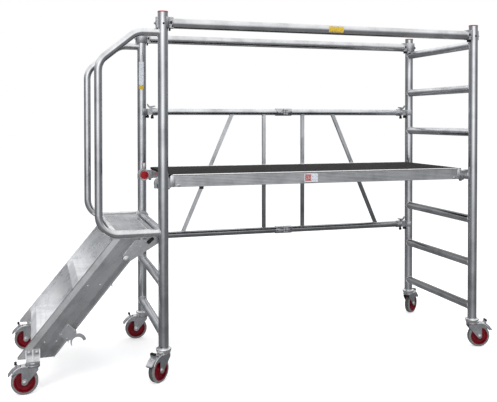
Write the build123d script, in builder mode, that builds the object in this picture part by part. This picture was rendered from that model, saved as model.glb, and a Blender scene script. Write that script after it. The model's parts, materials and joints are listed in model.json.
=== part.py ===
from build123d import *
import os
from math import cos, sin, radians

# Baker scaffold: two tube end frames on castors, a hook-on platform, a folding
# back brace, two swing guardrails and a hook-on access stair with a landing.
# Millimetres, +Z up, floor at Z = 0. The platform runs along X, the stair is at
# the -X end, and near means -Y. The origin is the middle of the footprint.

os.makedirs("parts", exist_ok=True)

# ---------------------------------------------------------- shared dimensions
BAY = 1780.0            # left frame to right frame, stile axes
WIDTH = 750.0           # stile axis to stile axis across an end frame
LEFT_X = -579.691       # left frame's stile axes
RIGHT_X = LEFT_X + BAY
MID_X = LEFT_X + BAY / 2
NEAR_Y = -370.871       # near side stile axes
FAR_Y = NEAR_Y + WIDTH
MID_Y = NEAR_Y + WIDTH / 2

STILE_R, STILE_T = 25.4, 2.0
STILE_Z0, STILE_Z1 = 155.0, 1835.0
PLUG_R = STILE_R - STILE_T - 0.1    # plugs and spigots inside this size of tube
RUNG_R, RUNG_T = 22.5, 2.0
RUNG_FIRST, RUNG_PITCH = 230.0, 250.0
RUNG_Z = [RUNG_FIRST + RUNG_PITCH * k for k in range(7)]
PIVOT_Z = RUNG_Z[2]     # the rung that carries the stair
STUB_Z = RUNG_Z[3]      # the stubs that carry the platform's left hooks
RAIL_R, RAIL_T = 19.0, 2.0          # handrail and brace tube
FIT = 0.06              # added to a pin's radius for a bore it turns in

# Name: stile axis, direction towards the middle of the scaffold.
SIDES = {"near": (NEAR_Y, 1), "far": (FAR_Y, -1)}
ENDS = {"left": (LEFT_X, 1), "right": (RIGHT_X, -1)}
LEFT_STILES = [(LEFT_X, NEAR_Y), (LEFT_X, FAR_Y)]
STILES = LEFT_STILES + [(RIGHT_X, NEAR_Y), (RIGHT_X, FAR_Y)]

UP = (Align.CENTER, Align.CENTER, Align.MIN)
DOWN = (Align.CENTER, Align.CENTER, Align.MAX)


# ------------------------------------------------------------------- helpers
def side(y):
    """The XZ plane at a given Y; extrusions from it run towards -Y."""
    return Plane(origin=(0, y, 0), x_dir=(1, 0, 0), z_dir=(0, -1, 0))


def endon(x):
    """The YZ plane at a given X; extrusions from it run towards +X."""
    return Plane(origin=(x, 0, 0), x_dir=(0, 1, 0), z_dir=(1, 0, 0))


def facing(x, y, z, direction=1):
    """A plane at a point, facing +Y or -Y, with its own X along +X."""
    return Plane(origin=(x, y, z), x_dir=(1, 0, 0), z_dir=(0, direction, 0))


def upright(x, y, z, direction=1):
    """A plane at a point, facing +Y or -Y, with its own Y up."""
    return Plane(origin=(x, y, z), x_dir=(-direction, 0, 0), z_dir=(0, direction, 0))


def lower_end(origin, direction, start, length):
    """Lower end of an interval measured from an origin in a direction."""
    return min(origin + direction * start, origin + direction * (start + length))


def upper_end(origin, direction, start, length):
    """Upper end of an interval measured from an origin in a direction."""
    return max(origin + direction * start, origin + direction * (start + length))


def placed(points, across, height, direction=1):
    """An outline moved to a point, mirrored where the direction is -1."""
    return [(across + direction * u, height + v) for u, v in points]


def ring(radius, wall):
    """A round tube's section, drawn in the open sketch."""
    Circle(radius)
    Circle(radius - wall, mode=Mode.SUBTRACT)


def cope_to(stiles):
    """Cut the stiles' outside cylinders out of the open part."""
    with Locations(*[(x, y, 100) for x, y in stiles]):
        Cylinder(STILE_R, 1800, align=UP, mode=Mode.SUBTRACT)


def save(piece, name):
    piece.label = name
    export_step(piece, f"parts/{name}.step")


# ================================================================ end frames
# Four stiles, round tube.
with BuildPart() as stiles:
    with BuildSketch(Plane.XY.offset(STILE_Z0)):
        with Locations(*STILES):
            ring(STILE_R, STILE_T)
    extrude(amount=STILE_Z1 - STILE_Z0)
save(stiles.part, "stiles")

# Rungs, coped to the stiles. The left frame is an open portal above the third.
with BuildPart() as rungs:
    for x, z in [(LEFT_X, z) for z in RUNG_Z[:3]] + [(RIGHT_X, z) for z in RUNG_Z]:
        with BuildSketch(upright(x, NEAR_Y, z)):
            ring(RUNG_R, RUNG_T)
        extrude(amount=WIDTH)
    cope_to(STILES)
save(rungs.part, "rungs")

# Push-in caps that close the stile tops: a rounded head on a hollow plug.
CAP_RIM, CAP_H, CAP_FILLET = 0.8, 6, 2.5
CAP_PLUG_L, CAP_PLUG_T = 26, 2.5
with BuildPart() as stile_caps:
    with BuildSketch(Plane.XY.offset(STILE_Z1)):
        with Locations(*STILES):
            Circle(STILE_R + CAP_RIM)
    extrude(amount=CAP_H)
    fillet(stile_caps.edges().group_by(Axis.Z)[-1], CAP_FILLET)
    with BuildSketch(Plane.XY.offset(STILE_Z1 - CAP_PLUG_L)):
        with Locations(*STILES):
            ring(PLUG_R, CAP_PLUG_T)
    extrude(amount=CAP_PLUG_L)
save(stile_caps.part, "stile_caps")

# Bent handrails beside the stair: out from the stile, down, and back in.
HANDRAIL_OUT = 315.0                # how far the handrail stands out
HANDRAIL_FLAT = 130                 # level run before it slopes down
HANDRAIL_BEND = 95
HANDRAIL_TOP, HANDRAIL_SHOULDER, HANDRAIL_LOW = 1735.0, 1585.0, 741.0
with BuildPart() as handrails:
    for y in (NEAR_Y, FAR_Y):
        with BuildLine() as run:
            FilletPolyline(
                (LEFT_X, y, HANDRAIL_TOP),
                (LEFT_X - HANDRAIL_FLAT, y, HANDRAIL_TOP),
                (LEFT_X - HANDRAIL_OUT, y, HANDRAIL_SHOULDER),
                (LEFT_X - HANDRAIL_OUT, y, HANDRAIL_LOW),
                (LEFT_X, y, HANDRAIL_LOW),
                radius=HANDRAIL_BEND,
            )
        with BuildSketch(Plane(origin=(LEFT_X, y, HANDRAIL_TOP), z_dir=(-1, 0, 0))):
            ring(RAIL_R, RAIL_T)
        sweep(path=run.line)
    cope_to(LEFT_STILES)
    with Locations((LEFT_X, MID_Y, PIVOT_Z)):
        Cylinder(RUNG_R, WIDTH, rotation=(90, 0, 0), mode=Mode.SUBTRACT)
save(handrails.part, "handrails")

# Short stubs on the left stiles that carry the platform's hooks, each closed by
# a flange with a bore for its lock knob.
STUB_L, FLANGE_T, FLANGE_R = 90.0, 7.0, 31.0
KNOB_STEM_R, KNOB_STEM_IN = 8, 32   # the stem reaches this far into the stub
with BuildPart() as platform_stubs:
    for y, inward in SIDES.values():
        plane = facing(LEFT_X, y, STUB_Z, inward)
        with BuildSketch(plane):
            ring(RUNG_R, RUNG_T)
        extrude(amount=STUB_L)
        with BuildSketch(plane.offset(STUB_L)):
            Circle(FLANGE_R)
            Circle(KNOB_STEM_R + FIT, mode=Mode.SUBTRACT)
        extrude(amount=FLANGE_T)
    cope_to(LEFT_STILES)
save(platform_stubs.part, "platform_stubs")

# Lock knobs: a rounded, scalloped hand knob on a stem that runs in the stub.
KNOB_R, KNOB_H, KNOB_GAP, KNOB_FILLET = 24, 15, 1, 3
SCALLOPS, SCALLOP_R, SCALLOP_PITCH_R = 10, 5.5, 27.5
for name, (y, inward) in SIDES.items():
    knob_y = y + inward * (STUB_L + FLANGE_T + KNOB_GAP)
    stem_y = y + inward * (STUB_L - KNOB_STEM_IN)
    with BuildPart() as lock_knob:
        with BuildSketch(facing(LEFT_X, knob_y, STUB_Z, inward)):
            Circle(KNOB_R)
            with PolarLocations(SCALLOP_PITCH_R, SCALLOPS):
                Circle(SCALLOP_R, mode=Mode.SUBTRACT)
        extrude(amount=KNOB_H)
        inner_rim = -1 if inward > 0 else 0
        fillet(lock_knob.edges().group_by(Axis.Y)[inner_rim], KNOB_FILLET)
        with BuildSketch(facing(LEFT_X, stem_y, STUB_Z, inward)):
            Circle(KNOB_STEM_R)
        extrude(amount=KNOB_STEM_IN + FLANGE_T + 2)
    save(lock_knob.part, f"{name}_lock_knob")

# ==================================================================== castors
# One castor is modelled on the Z axis with its wheel trailing towards +X, and
# placed at each foot.
WHEEL_R, WHEEL_W, TYRE_FILLET = 62.5, 32.0, 8
CORE_R, CORE_W = 50.0, WHEEL_W - 2
DISH_R, DISH_HUB_R, DISH_DEPTH, DISH_TAPER = CORE_R - 5, 17, 8, 25
HUB_R, HUB_OUT = 14, 4              # the hub stands this far out of the core
TRAIL = 38.0
AXLE_R, AXLE_HEAD_R, AXLE_HEAD_H = 6.0, 10, 5
KING_R, KING_Z0, KING_L = 6.0, 136, 8
NUT_R, NUT_Z0, NUT_POCKET_R = 9, 130, 11
RACE_Z0, RACE_Z1, RACE_R = 129.0, 140.0, 32.0     # the fork's swivel cup
RACE_GAP = 0.6
SPIGOT_L = 60
LEG_IN, LEG_T = 20.0, 3.0
LEG_OUT = LEG_IN + LEG_T
BRAKE_X, BRAKE_Z, BRAKE_R = 62.0, 127.0, 3.0      # brake pedal pivot
PEDAL_W = 37

# Rear leaf of a fork leg, (x, z).
LEG_LEAF = [
    (14, 131), (24, 135.5), (36, 138.3), (50, 137.4), (62, 133.8), (74, 127),
    (85, 117.5), (94, 106), (98.5, 98), (94, 95.5), (87, 102.5), (77, 107.5),
    (64, 109), (51, 108.5), (51, 66), (38, 62.5), (20, 100),
]
# Bridge between the legs behind the swivel cup, (x, z).
BRIDGE = [(28, 129.2), (48, 130.6), (48, 133.6), (28, 133.2)]
# Brake pedal's side profile with its two toes, (x, z).
PEDAL = [
    (57, 131), (64, 134.5), (69, 137), (76, 147.5), (81, 146.5), (77.5, 134.5),
    (90, 125.5), (102, 113.5), (111, 101.5), (113, 97), (109, 94.5), (104, 98),
    (98, 106), (88, 117), (76, 124), (60, 124),
]

# Castor name: swivel axis x and y, direction the wheel trails in (degrees from +X).
STAIR_CASTOR_X = LEFT_X - 622.0
STAIR_CASTOR_Y = (NEAR_Y + 15.0, FAR_Y - 15.0)
CASTORS = {
    "near_left": (LEFT_X, NEAR_Y, 220.0),
    "far_left": (LEFT_X, FAR_Y, 180.0),
    "near_right": (RIGHT_X, NEAR_Y, -12.0),
    "far_right": (RIGHT_X, FAR_Y, 34.0),
    "stair_near": (STAIR_CASTOR_X, STAIR_CASTOR_Y[0], 180.0),
    "stair_far": (STAIR_CASTOR_X, STAIR_CASTOR_Y[1], 180.0),
}

# Stem: a collar above the swivel cup, the kingpin through the fork, a nut below.
with BuildPart() as stem_form:
    with BuildSketch(Plane.XY.offset(RACE_Z1 + RACE_GAP)):
        Circle(RACE_R)
    extrude(amount=STILE_Z0 - RACE_Z1 - RACE_GAP)
    chamfer(stem_form.edges().group_by(Axis.Z)[-1], 3)
    with BuildSketch(Plane.XY.offset(KING_Z0)):
        Circle(KING_R)
    extrude(amount=KING_L)
    with BuildSketch(Plane.XY.offset(NUT_Z0)):
        RegularPolygon(NUT_R, 6)
    extrude(amount=KING_Z0 - NUT_Z0)

# The spigot that grips inside a stile.
with BuildPart() as spigot_form:
    with BuildSketch(Plane.XY.offset(STILE_Z0)):
        Circle(PLUG_R)
    extrude(amount=SPIGOT_L)
    chamfer(spigot_form.edges().group_by(Axis.Z)[-1], 4)

# Fork: swivel cup, two legs and a bridge.
with BuildPart() as fork_form:
    with BuildSketch(Plane.XY.offset(RACE_Z0)):
        Circle(RACE_R + 1)
    extrude(amount=RACE_Z1 - RACE_Z0)
    fillet(fork_form.edges().group_by(Axis.Z)[-1], 2.5)
    for y in (-LEG_IN, LEG_OUT):
        with BuildSketch(side(y)):
            with Locations((0, 124)):
                Rectangle(50, 16)
            with Locations((TRAIL, WHEEL_R)):
                Circle(13)
            make_hull()
            with BuildLine():
                Polyline(*LEG_LEAF, close=True)
            make_face()
            with Locations((TRAIL, WHEEL_R)):
                Circle(AXLE_R, mode=Mode.SUBTRACT)
            with Locations((BRAKE_X, BRAKE_Z)):
                Circle(BRAKE_R + FIT, mode=Mode.SUBTRACT)
        extrude(amount=LEG_T)
    with BuildSketch(side(LEG_IN)):
        with BuildLine():
            Polyline(*BRIDGE, close=True)
        make_face()
    extrude(amount=2 * LEG_IN)
    # kingpin bore, and the pocket round its nut
    with Locations((0, 0, RACE_Z0 - 1)):
        Cylinder(KING_R + FIT, 20, align=UP, mode=Mode.SUBTRACT)
    with Locations((0, 0, RACE_Z0 - 1)):
        Cylinder(NUT_POCKET_R, 8.5, align=UP, mode=Mode.SUBTRACT)

# Axle with a hexagon outside each leg.
with BuildPart() as axle_form:
    for direction in (1, -1):
        with BuildSketch(facing(TRAIL, direction * LEG_OUT, WHEEL_R, direction)):
            RegularPolygon(AXLE_HEAD_R, 6)
        extrude(amount=AXLE_HEAD_H)
    with BuildSketch(facing(TRAIL, -LEG_OUT, WHEEL_R)):
        Circle(AXLE_R)
    extrude(amount=2 * LEG_OUT)

# Wheel core, its web dished on both sides.
with BuildPart() as core_form:
    hub = facing(TRAIL, -CORE_W / 2, WHEEL_R)
    with BuildSketch(hub):
        Circle(CORE_R)
    extrude(amount=CORE_W)
    for offset, depth in ((0, DISH_DEPTH), (CORE_W, -DISH_DEPTH)):
        with BuildSketch(hub.offset(offset)):
            Circle(DISH_R)
            Circle(DISH_HUB_R, mode=Mode.SUBTRACT)
        extrude(amount=depth, taper=DISH_TAPER, mode=Mode.SUBTRACT)
    with BuildSketch(hub.offset(-HUB_OUT)):
        Circle(HUB_R)
    extrude(amount=CORE_W + 2 * HUB_OUT)
    with BuildSketch(hub.offset(-HUB_OUT - 1)):
        Circle(AXLE_R + FIT)
    extrude(amount=CORE_W + 2 * HUB_OUT + 2, mode=Mode.SUBTRACT)

with BuildPart() as tyre_form:
    tread = facing(TRAIL, -WHEEL_W / 2, WHEEL_R)
    with BuildSketch(tread):
        Circle(WHEEL_R)
    extrude(amount=WHEEL_W)
    fillet(tyre_form.edges(), TYRE_FILLET)
    with BuildSketch(tread):
        Circle(CORE_R)
    extrude(amount=WHEEL_W, mode=Mode.SUBTRACT)

# Double-toe pedal: press the lower toe to lock, the upper one to release.
with BuildPart() as pedal_form:
    with BuildSketch(side(PEDAL_W / 2)):
        with BuildLine():
            Polyline(*PEDAL, close=True)
        make_face()
    extrude(amount=PEDAL_W)
    fillet(pedal_form.edges().filter_by(Axis.Y).group_by(Axis.X)[-1], 1)
    with BuildSketch(side(LEG_OUT + 2)):
        with Locations((BRAKE_X, BRAKE_Z)):
            Circle(BRAKE_R)
    extrude(amount=2 * (LEG_OUT + 2))


def at_foot(form, place):
    """A copy of a castor form at its foot."""
    with BuildPart() as copy:
        with Locations(place):
            add(form.part)
    return copy.part


for foot, (x, y, heading) in CASTORS.items():
    place = Location((x, y, 0), (0, 0, heading))
    fork = at_foot(fork_form, place).solids()[0]
    axle = axle_form.part.solids()[0].moved(place)
    save(Compound(children=[fork, axle]), f"{foot}_castor_fork")
    save(at_foot(core_form, place), f"{foot}_wheel_core")
    save(at_foot(tyre_form, place), f"{foot}_tyre")
    save(at_foot(pedal_form, place), f"{foot}_brake_pedal")

with BuildPart() as castor_stems:
    with Locations(*[Location((x, y, 0)) for x, y in STILES]):
        add(stem_form.part)
        add(spigot_form.part)
save(castor_stems.part, "castor_stems")

# Stair castor mounts: a gusseted shelf bracket on each stringer's outer face,
# with the castor stem below it.
STRINGER_Y = 30.0       # outer faces of the stringers, inward from the stile axes
BRACKET_X0, BRACKET_X1 = LEFT_X - 655.0, LEFT_X - 589.0
GUSSET_T = 4
# Bracket sections, (inward from the stile axis, height above the shelf's underside).
GUSSET = [(-17, 0), (STRINGER_Y, 0), (STRINGER_Y, 50), (20, 50), (-17, 6)]
SHELF = [
    (-17, 0), (STRINGER_Y, 0), (STRINGER_Y, 50),
    (STRINGER_Y - 4, 50), (STRINGER_Y - 4, 5), (-17, 5),
]
with BuildPart() as stair_castor_mounts:
    with Locations(*[Location((STAIR_CASTOR_X, y, 0)) for y in STAIR_CASTOR_Y]):
        add(stem_form.part)
    for y, inward in SIDES.values():
        for x in (BRACKET_X0, BRACKET_X1 - GUSSET_T, STAIR_CASTOR_X - GUSSET_T / 2):
            with BuildSketch(endon(x)):
                with BuildLine():
                    Polyline(*placed(GUSSET, y, STILE_Z0, inward), close=True)
                make_face()
            extrude(amount=GUSSET_T)
        with BuildSketch(endon(BRACKET_X0)):
            with BuildLine():
                Polyline(*placed(SHELF, y, STILE_Z0, inward), close=True)
            make_face()
        extrude(amount=BRACKET_X1 - BRACKET_X0)
save(stair_castor_mounts.part, "stair_castor_mounts")

# ================================================================= guardrails
GUARD_Z = 1782.0        # guardrail axis
GUARD_END = 50.0        # stile axis to the guard tube's end
JAW_IN, JAW_OUT = 26.2, 36.0
JAW_Z0, JAW_Z1 = 1757.5, 1811.0
JAW_MID_Z = (JAW_Z0 + JAW_Z1) / 2
NECK_L, NECK_W = 24, 40
END_PLATE_T, GUARD_PLUG_L = 6, 34

for name, (y, inner) in SIDES.items():
    with BuildPart() as guard_tube:
        with BuildSketch(endon(LEFT_X + GUARD_END)):
            with Locations((y, GUARD_Z)):
                ring(STILE_R, STILE_T)
        extrude(amount=BAY - 2 * GUARD_END)
    save(guard_tube.part, f"{name}_guardrail_tube")

    # Cast claws. Each jaw wraps the inner part of its stile and is open on the
    # outside, so the rail can swing in off the right stile about the left one.
    with BuildPart() as guard_claws:
        for x, inward in ENDS.values():
            with BuildSketch(Plane.XY.offset(JAW_Z0)):
                with Locations((x, y)):
                    Circle(JAW_OUT)
                with Locations((x + inward * (GUARD_END - NECK_L / 2), y)):
                    Rectangle(NECK_L, NECK_W)
            extrude(amount=JAW_Z1 - JAW_Z0)
            # end plate and the plug that fills the tube's end
            plate_x = lower_end(x, inward, GUARD_END - END_PLATE_T, END_PLATE_T)
            with BuildSketch(endon(plate_x)):
                with Locations((y, GUARD_Z)):
                    Circle(STILE_R + 1)
            extrude(amount=END_PLATE_T)
            with BuildSketch(endon(lower_end(x, inward, GUARD_END, GUARD_PLUG_L))):
                with Locations((y, GUARD_Z)):
                    Circle(PLUG_R)
            extrude(amount=GUARD_PLUG_L)
            # seat for the stile
            with Locations((x, y, JAW_Z0 - 20)):
                Cylinder(JAW_IN, 120, align=UP, mode=Mode.SUBTRACT)
            # trigger slot in the neck
            with Locations((x + inward * 39.5, y, JAW_Z0)):
                Box(15, 6.4, 17, align=UP, mode=Mode.SUBTRACT)
        # open mouths on the outside of the stiles
        with Locations((RIGHT_X + 12, y - inner * 30, JAW_MID_Z)):
            Box(2 * (JAW_IN + 12), 60, 100, mode=Mode.SUBTRACT)
        with Locations((LEFT_X - 20, y - inner * 42, JAW_MID_Z)):
            Box(60, 60, 100, mode=Mode.SUBTRACT)
        fillet(guard_claws.edges().filter_by(Axis.Z).group_by(Axis.X)[0], 0.8)
    save(guard_claws.part, f"{name}_guardrail_claws")

    # Spring triggers under the necks: a finger block and a stem in the slot.
    for end, (x, inward) in ENDS.items():
        with BuildPart() as trigger:
            with Locations((x + inward * 33.8, y, JAW_Z0 - 0.3)):
                Box(7.6, 16, 13, align=DOWN)
            fillet(trigger.edges().group_by(Axis.Z)[0], 2)
            with Locations((x + inward * 35, y, JAW_Z0 - 2)):
                Box(5, 6, 16, align=UP)
        save(trigger.part, f"{name}_{end}_trigger")

# ================================================================= back brace
# Two hinged halves on the far side, each with a lower and an upper tube.
BRACE_Z = (607.0, 1350.0)
BRACE_CENTRES = [(FAR_Y, z) for z in BRACE_Z]
BRACE_GAP = 14          # brace middle to each tube's end
BRACE_END = 60          # stile axis to each tube's end
BRACE_TUBE_L = BAY / 2 - BRACE_END - BRACE_GAP
POST_X, DIAGONAL_FOOT_X, DIAGONAL_HEAD_X = 129, 650, 330    # from the brace middle
WEB_W, WEB_BORE = 20, 16.4

CLAW_R, CLAW_SEAT_R, CLAW_H = 35, 26.6, 36
SLEEVE_R, SLEEVE_L = 22.5, 32
EAR_T, EAR_R = 3.5, 5
LEVER_X, LEVER_Z = 54, 26           # lever pivot, from the stile and tube axes
LEVER_PIN_R, LEVER_PIN_L, LEVER_W = 2.5, 21, 9.4
# Curved finger lever, (inward from the stile axis, above the tube axis).
LEVER = [
    (84, 32), (76, 37), (60, 35), (50, 33), (42, 38), (36, 48),
    (31, 47), (33, 35), (40, 26), (48, 21), (58, 23), (70, 27),
]

PIN_Y = FAR_Y - 24.0    # centre hinge pins, inside the tube axes
PIN_R, PIN_L = 4.0, 34
PIN_HEAD_R, PIN_HEAD_H = 6.5, 3
HINGE_SLEEVE_R, HINGE_SLEEVE_L, HINGE_GAP = 23, 50.5, 1.5
KNUCKLE_R, KNUCKLE_ROOM_R = 9.5, 11.5
# Half: knuckle bottoms and tops from the tube axis, bore radius.
KNUCKLES = {
    "left": (((-6, 6),), PIN_R + FIT),
    "right": (((6.4, 15), (-15, -6.4)), PIN_R),
}

with BuildPart() as hinge_pins:
    for z in BRACE_Z:
        with BuildSketch(Plane.XY.offset(z - PIN_L / 2)):
            with Locations((MID_X, PIN_Y)):
                Circle(PIN_R)
        extrude(amount=PIN_L)
        with BuildSketch(Plane.XY.offset(z + 15)):
            with Locations((MID_X, PIN_Y)):
                Circle(PIN_HEAD_R)
        extrude(amount=PIN_HEAD_H)

for half, (stile_x, inward) in ENDS.items():
    outward = -inward
    with BuildPart() as brace_tubes:
        with BuildSketch(endon(lower_end(MID_X, outward, BRACE_GAP, BRACE_TUBE_L))):
            with Locations(*BRACE_CENTRES):
                ring(RAIL_R, RAIL_T)
        extrude(amount=BRACE_TUBE_L)
    save(brace_tubes.part, f"brace_{half}_tubes")

    # an upright and a diagonal, square tube, coped between the two tubes
    with BuildPart() as brace_webs:
        for foot_x, head_x in ((POST_X, POST_X), (DIAGONAL_FOOT_X, DIAGONAL_HEAD_X)):
            foot = Vector(MID_X + outward * foot_x, FAR_Y, BRACE_Z[0])
            head = Vector(MID_X + outward * head_x, FAR_Y, BRACE_Z[1])
            with BuildSketch(Plane(origin=foot, x_dir=(0, 1, 0), z_dir=head - foot)):
                Rectangle(WEB_W, WEB_W)
                Rectangle(WEB_BORE, WEB_BORE, mode=Mode.SUBTRACT)
            extrude(amount=(head - foot).length)
        with Locations(*[(MID_X, FAR_Y, z) for z in BRACE_Z]):
            Cylinder(RAIL_R, BAY, rotation=(0, 90, 0), mode=Mode.SUBTRACT)
    save(brace_webs.part, f"brace_{half}_webs")

    # Cast end claws: a half-round jaw on the inner side of the stile, a sleeve
    # over the tube, and a pair of ears that hold the latch lever.
    pivot_x = stile_x + inward * LEVER_X
    with BuildPart() as brace_claws:
        for z in BRACE_Z:
            with BuildSketch(Plane.XY.offset(z - CLAW_H / 2)):
                with Locations((stile_x, FAR_Y)):
                    Circle(CLAW_R)
                with Locations((stile_x + inward * 46, FAR_Y)):
                    Rectangle(28, 34)
            extrude(amount=CLAW_H)
            with BuildSketch(endon(lower_end(stile_x, inward, BRACE_END, SLEEVE_L))):
                with Locations((FAR_Y, z)):
                    Circle(SLEEVE_R)
                    Circle(RAIL_R, mode=Mode.SUBTRACT)
            extrude(amount=SLEEVE_L)
            for ear_y in (FAR_Y - 8.5, FAR_Y + 5):
                with BuildSketch(side(ear_y + EAR_T)):
                    with Locations((pivot_x, z + LEVER_Z)):
                        Circle(EAR_R)
                    with Locations((stile_x + inward * 53, z + 12)):
                        Rectangle(11, 8)
                    make_hull()
                    with Locations((pivot_x, z + LEVER_Z)):
                        Circle(LEVER_PIN_R + FIT, mode=Mode.SUBTRACT)
                extrude(amount=EAR_T)
            with Locations((stile_x, FAR_Y, z - 40)):
                Cylinder(CLAW_SEAT_R, 80, align=UP, mode=Mode.SUBTRACT)
            with Locations((stile_x - inward * 40, FAR_Y, z)):
                Box(80, 90, 80, mode=Mode.SUBTRACT)

    # Latch levers between the ears, each with its pivot pin.
    for level, z in zip(("lower", "upper"), BRACE_Z):
        with BuildPart() as lever:
            with BuildSketch(side(FAR_Y + LEVER_W / 2)):
                with BuildLine():
                    Polyline(*placed(LEVER, stile_x, z, inward), close=True)
                make_face()
            extrude(amount=LEVER_W)
            with BuildSketch(side(FAR_Y + LEVER_PIN_L / 2)):
                with Locations((pivot_x, z + LEVER_Z)):
                    Circle(LEVER_PIN_R)
            extrude(amount=LEVER_PIN_L)
        save(lever.part, f"brace_{half}_{level}_lever")

    # Centre hinges: sleeves over the tube ends with knuckles on the inner side.
    bands, bore_r = KNUCKLES[half]
    with BuildPart() as knuckles:
        for z in BRACE_Z:
            with BuildSketch(endon(lower_end(MID_X, outward, HINGE_GAP, HINGE_SLEEVE_L))):
                with Locations((FAR_Y, z)):
                    Circle(HINGE_SLEEVE_R)
            extrude(amount=HINGE_SLEEVE_L)
            # room for the other half's knuckles
            with Locations((MID_X, PIN_Y, z)):
                Cylinder(KNUCKLE_ROOM_R, 60, mode=Mode.SUBTRACT)
            for bottom, top in bands:
                with BuildSketch(Plane.XY.offset(z + bottom)):
                    with Locations((MID_X, PIN_Y)):
                        Circle(KNUCKLE_R)
                    with Locations((MID_X + outward * 12, PIN_Y + KNUCKLE_R / 2)):
                        Rectangle(24, KNUCKLE_R)
                    with Locations((MID_X, PIN_Y)):
                        Circle(bore_r, mode=Mode.SUBTRACT)
                extrude(amount=top - bottom)
            # socket for the tube
            with Locations((MID_X + outward * (BRACE_GAP + 30), FAR_Y, z)):
                Cylinder(RAIL_R, 60, rotation=(0, 90, 0), mode=Mode.SUBTRACT)

    fittings = list(brace_claws.part.solids()) + list(knuckles.part.solids())
    if half == "right":
        fittings += list(hinge_pins.part.solids())
    save(Compound(children=fittings), f"brace_{half}_fittings")

# =================================================================== platform
DECK_TOP, DECK_T = 1023.0, 12.0
DECK_BASE = DECK_TOP - DECK_T
DECK_OVERHANG = 14      # board past each end of the side rails
RAIL_Z0, RAIL_W, RAIL_WALL = 960.0, 28.0, 3
RAIL_H = DECK_BASE - RAIL_Z0
RAIL_MID_Z = (RAIL_Z0 + DECK_BASE) / 2
RAIL_END = 56.0         # stile axis to the side rails' ends
RAIL_X0, RAIL_X1 = LEFT_X + RAIL_END, RIGHT_X - RAIL_END
RAIL_IN = 50.0          # stile axis to the side rails' outer faces
DECK_W = WIDTH - 2 * RAIL_IN
GROOVES, GROOVE_FIRST, GROOVE_PITCH = 7, 8, 7.8
# Side rail section with its lip, (inward from the outer face, z).
DECK_RAIL = [
    (0, RAIL_Z0), (RAIL_W, RAIL_Z0), (RAIL_W, DECK_BASE),
    (3, DECK_BASE), (3, DECK_TOP + 1), (0, DECK_TOP + 1),
]

# Side rails: hollow extrusion with a grooved outer face and a lip that the
# board sits inside.
with BuildPart() as deck_rails:
    for stile_y, inward in SIDES.values():
        y = stile_y + inward * RAIL_IN
        with BuildSketch(endon(RAIL_X0)):
            with BuildLine():
                Polyline(*placed(DECK_RAIL, y, 0, inward), close=True)
            make_face()
            with Locations((y + inward * RAIL_W / 2, RAIL_MID_Z)):
                Rectangle(RAIL_W - 2 * RAIL_WALL, RAIL_H - 2 * RAIL_WALL, mode=Mode.SUBTRACT)
            grooves = [(y, RAIL_Z0 + GROOVE_FIRST + GROOVE_PITCH * k) for k in range(GROOVES)]
            with Locations(*grooves):
                Rectangle(2.6, 2.8, mode=Mode.SUBTRACT)
        extrude(amount=RAIL_X1 - RAIL_X0)
save(deck_rails.part, "deck_rails")

# Cross members, rectangular tube, two of them closing the ends.
MEMBER_H, MEMBER_T = 24, 2
END_MEMBER_W, MEMBER_W = 26, 40
MEMBER_FIRST, MEMBER_PITCH = 281, 281.5
members = [(RAIL_X0 + 1, END_MEMBER_W), (RAIL_X1 - 1, END_MEMBER_W)]
members += [(RAIL_X0 + MEMBER_FIRST + MEMBER_PITCH * k, MEMBER_W) for k in range(5)]
with BuildPart() as deck_cross_members:
    for x, width in members:
        with BuildSketch(side(FAR_Y - RAIL_IN - RAIL_W)):
            with Locations((x, DECK_BASE - MEMBER_H / 2)):
                Rectangle(width, MEMBER_H)
                Rectangle(width - 2 * MEMBER_T, MEMBER_H - 2 * MEMBER_T, mode=Mode.SUBTRACT)
        extrude(amount=DECK_W - 2 * RAIL_W)
save(deck_cross_members.part, "deck_cross_members")

# Non-slip plywood deck board.
with BuildPart() as deck_board:
    with BuildSketch(Plane.XY.offset(DECK_BASE)):
        with Locations((MID_X, MID_Y)):
            Rectangle(RAIL_X1 - RAIL_X0 + 2 * DECK_OVERHANG, DECK_W - 6.4)
    extrude(amount=DECK_T)
    chamfer(deck_board.edges().group_by(Axis.Z)[-1], 1)
save(deck_board.part, "deck_board")

# Cast hooks in the rail ends, saddling a stub or a rung from above.
DECK_HOOK_IN, DECK_HOOK_T = 2, 25.5     # from the rail's outer face, inwards
TONGUE_IN, TONGUE_T = 3.2, 21.6
TONGUE_L, TONGUE_H = 46, 44
# Arm from the hook to the rail end, (inward from the stile axis, above STUB_Z).
HOOK_ARM = [
    (4, 33.5), (24, 28), (RAIL_END, 24), (RAIL_END, -18), (38, -27), (24, -24), (4, 0),
]
with BuildPart() as deck_hooks:
    for x, inward in ENDS.values():
        for stile_y, inner in SIDES.values():
            y = stile_y + inner * RAIL_IN
            with BuildSketch(side(upper_end(y, inner, DECK_HOOK_IN, DECK_HOOK_T))):
                with Locations((x, STUB_Z)):
                    Circle(34)
                with Locations((x - inward * 29, STUB_Z - 12)):
                    Rectangle(10, 24)
                with BuildLine():
                    Polyline(*placed(HOOK_ARM, x, STUB_Z, inward), close=True)
                make_face()
                with Locations((x, STUB_Z - 1.3)):
                    Circle(24, mode=Mode.SUBTRACT)
                with Locations((x, STUB_Z - 41.3)):
                    Rectangle(48, 80, mode=Mode.SUBTRACT)
            extrude(amount=DECK_HOOK_T)
            # tongue inside the hollow rail
            tongue_x = x + inward * (RAIL_END + 22)
            tongue_y = y + inner * (TONGUE_IN + TONGUE_T / 2)
            with Locations((tongue_x, tongue_y, RAIL_MID_Z)):
                Box(TONGUE_L, TONGUE_T, TONGUE_H)
save(deck_hooks.part, "deck_hooks")

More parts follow.
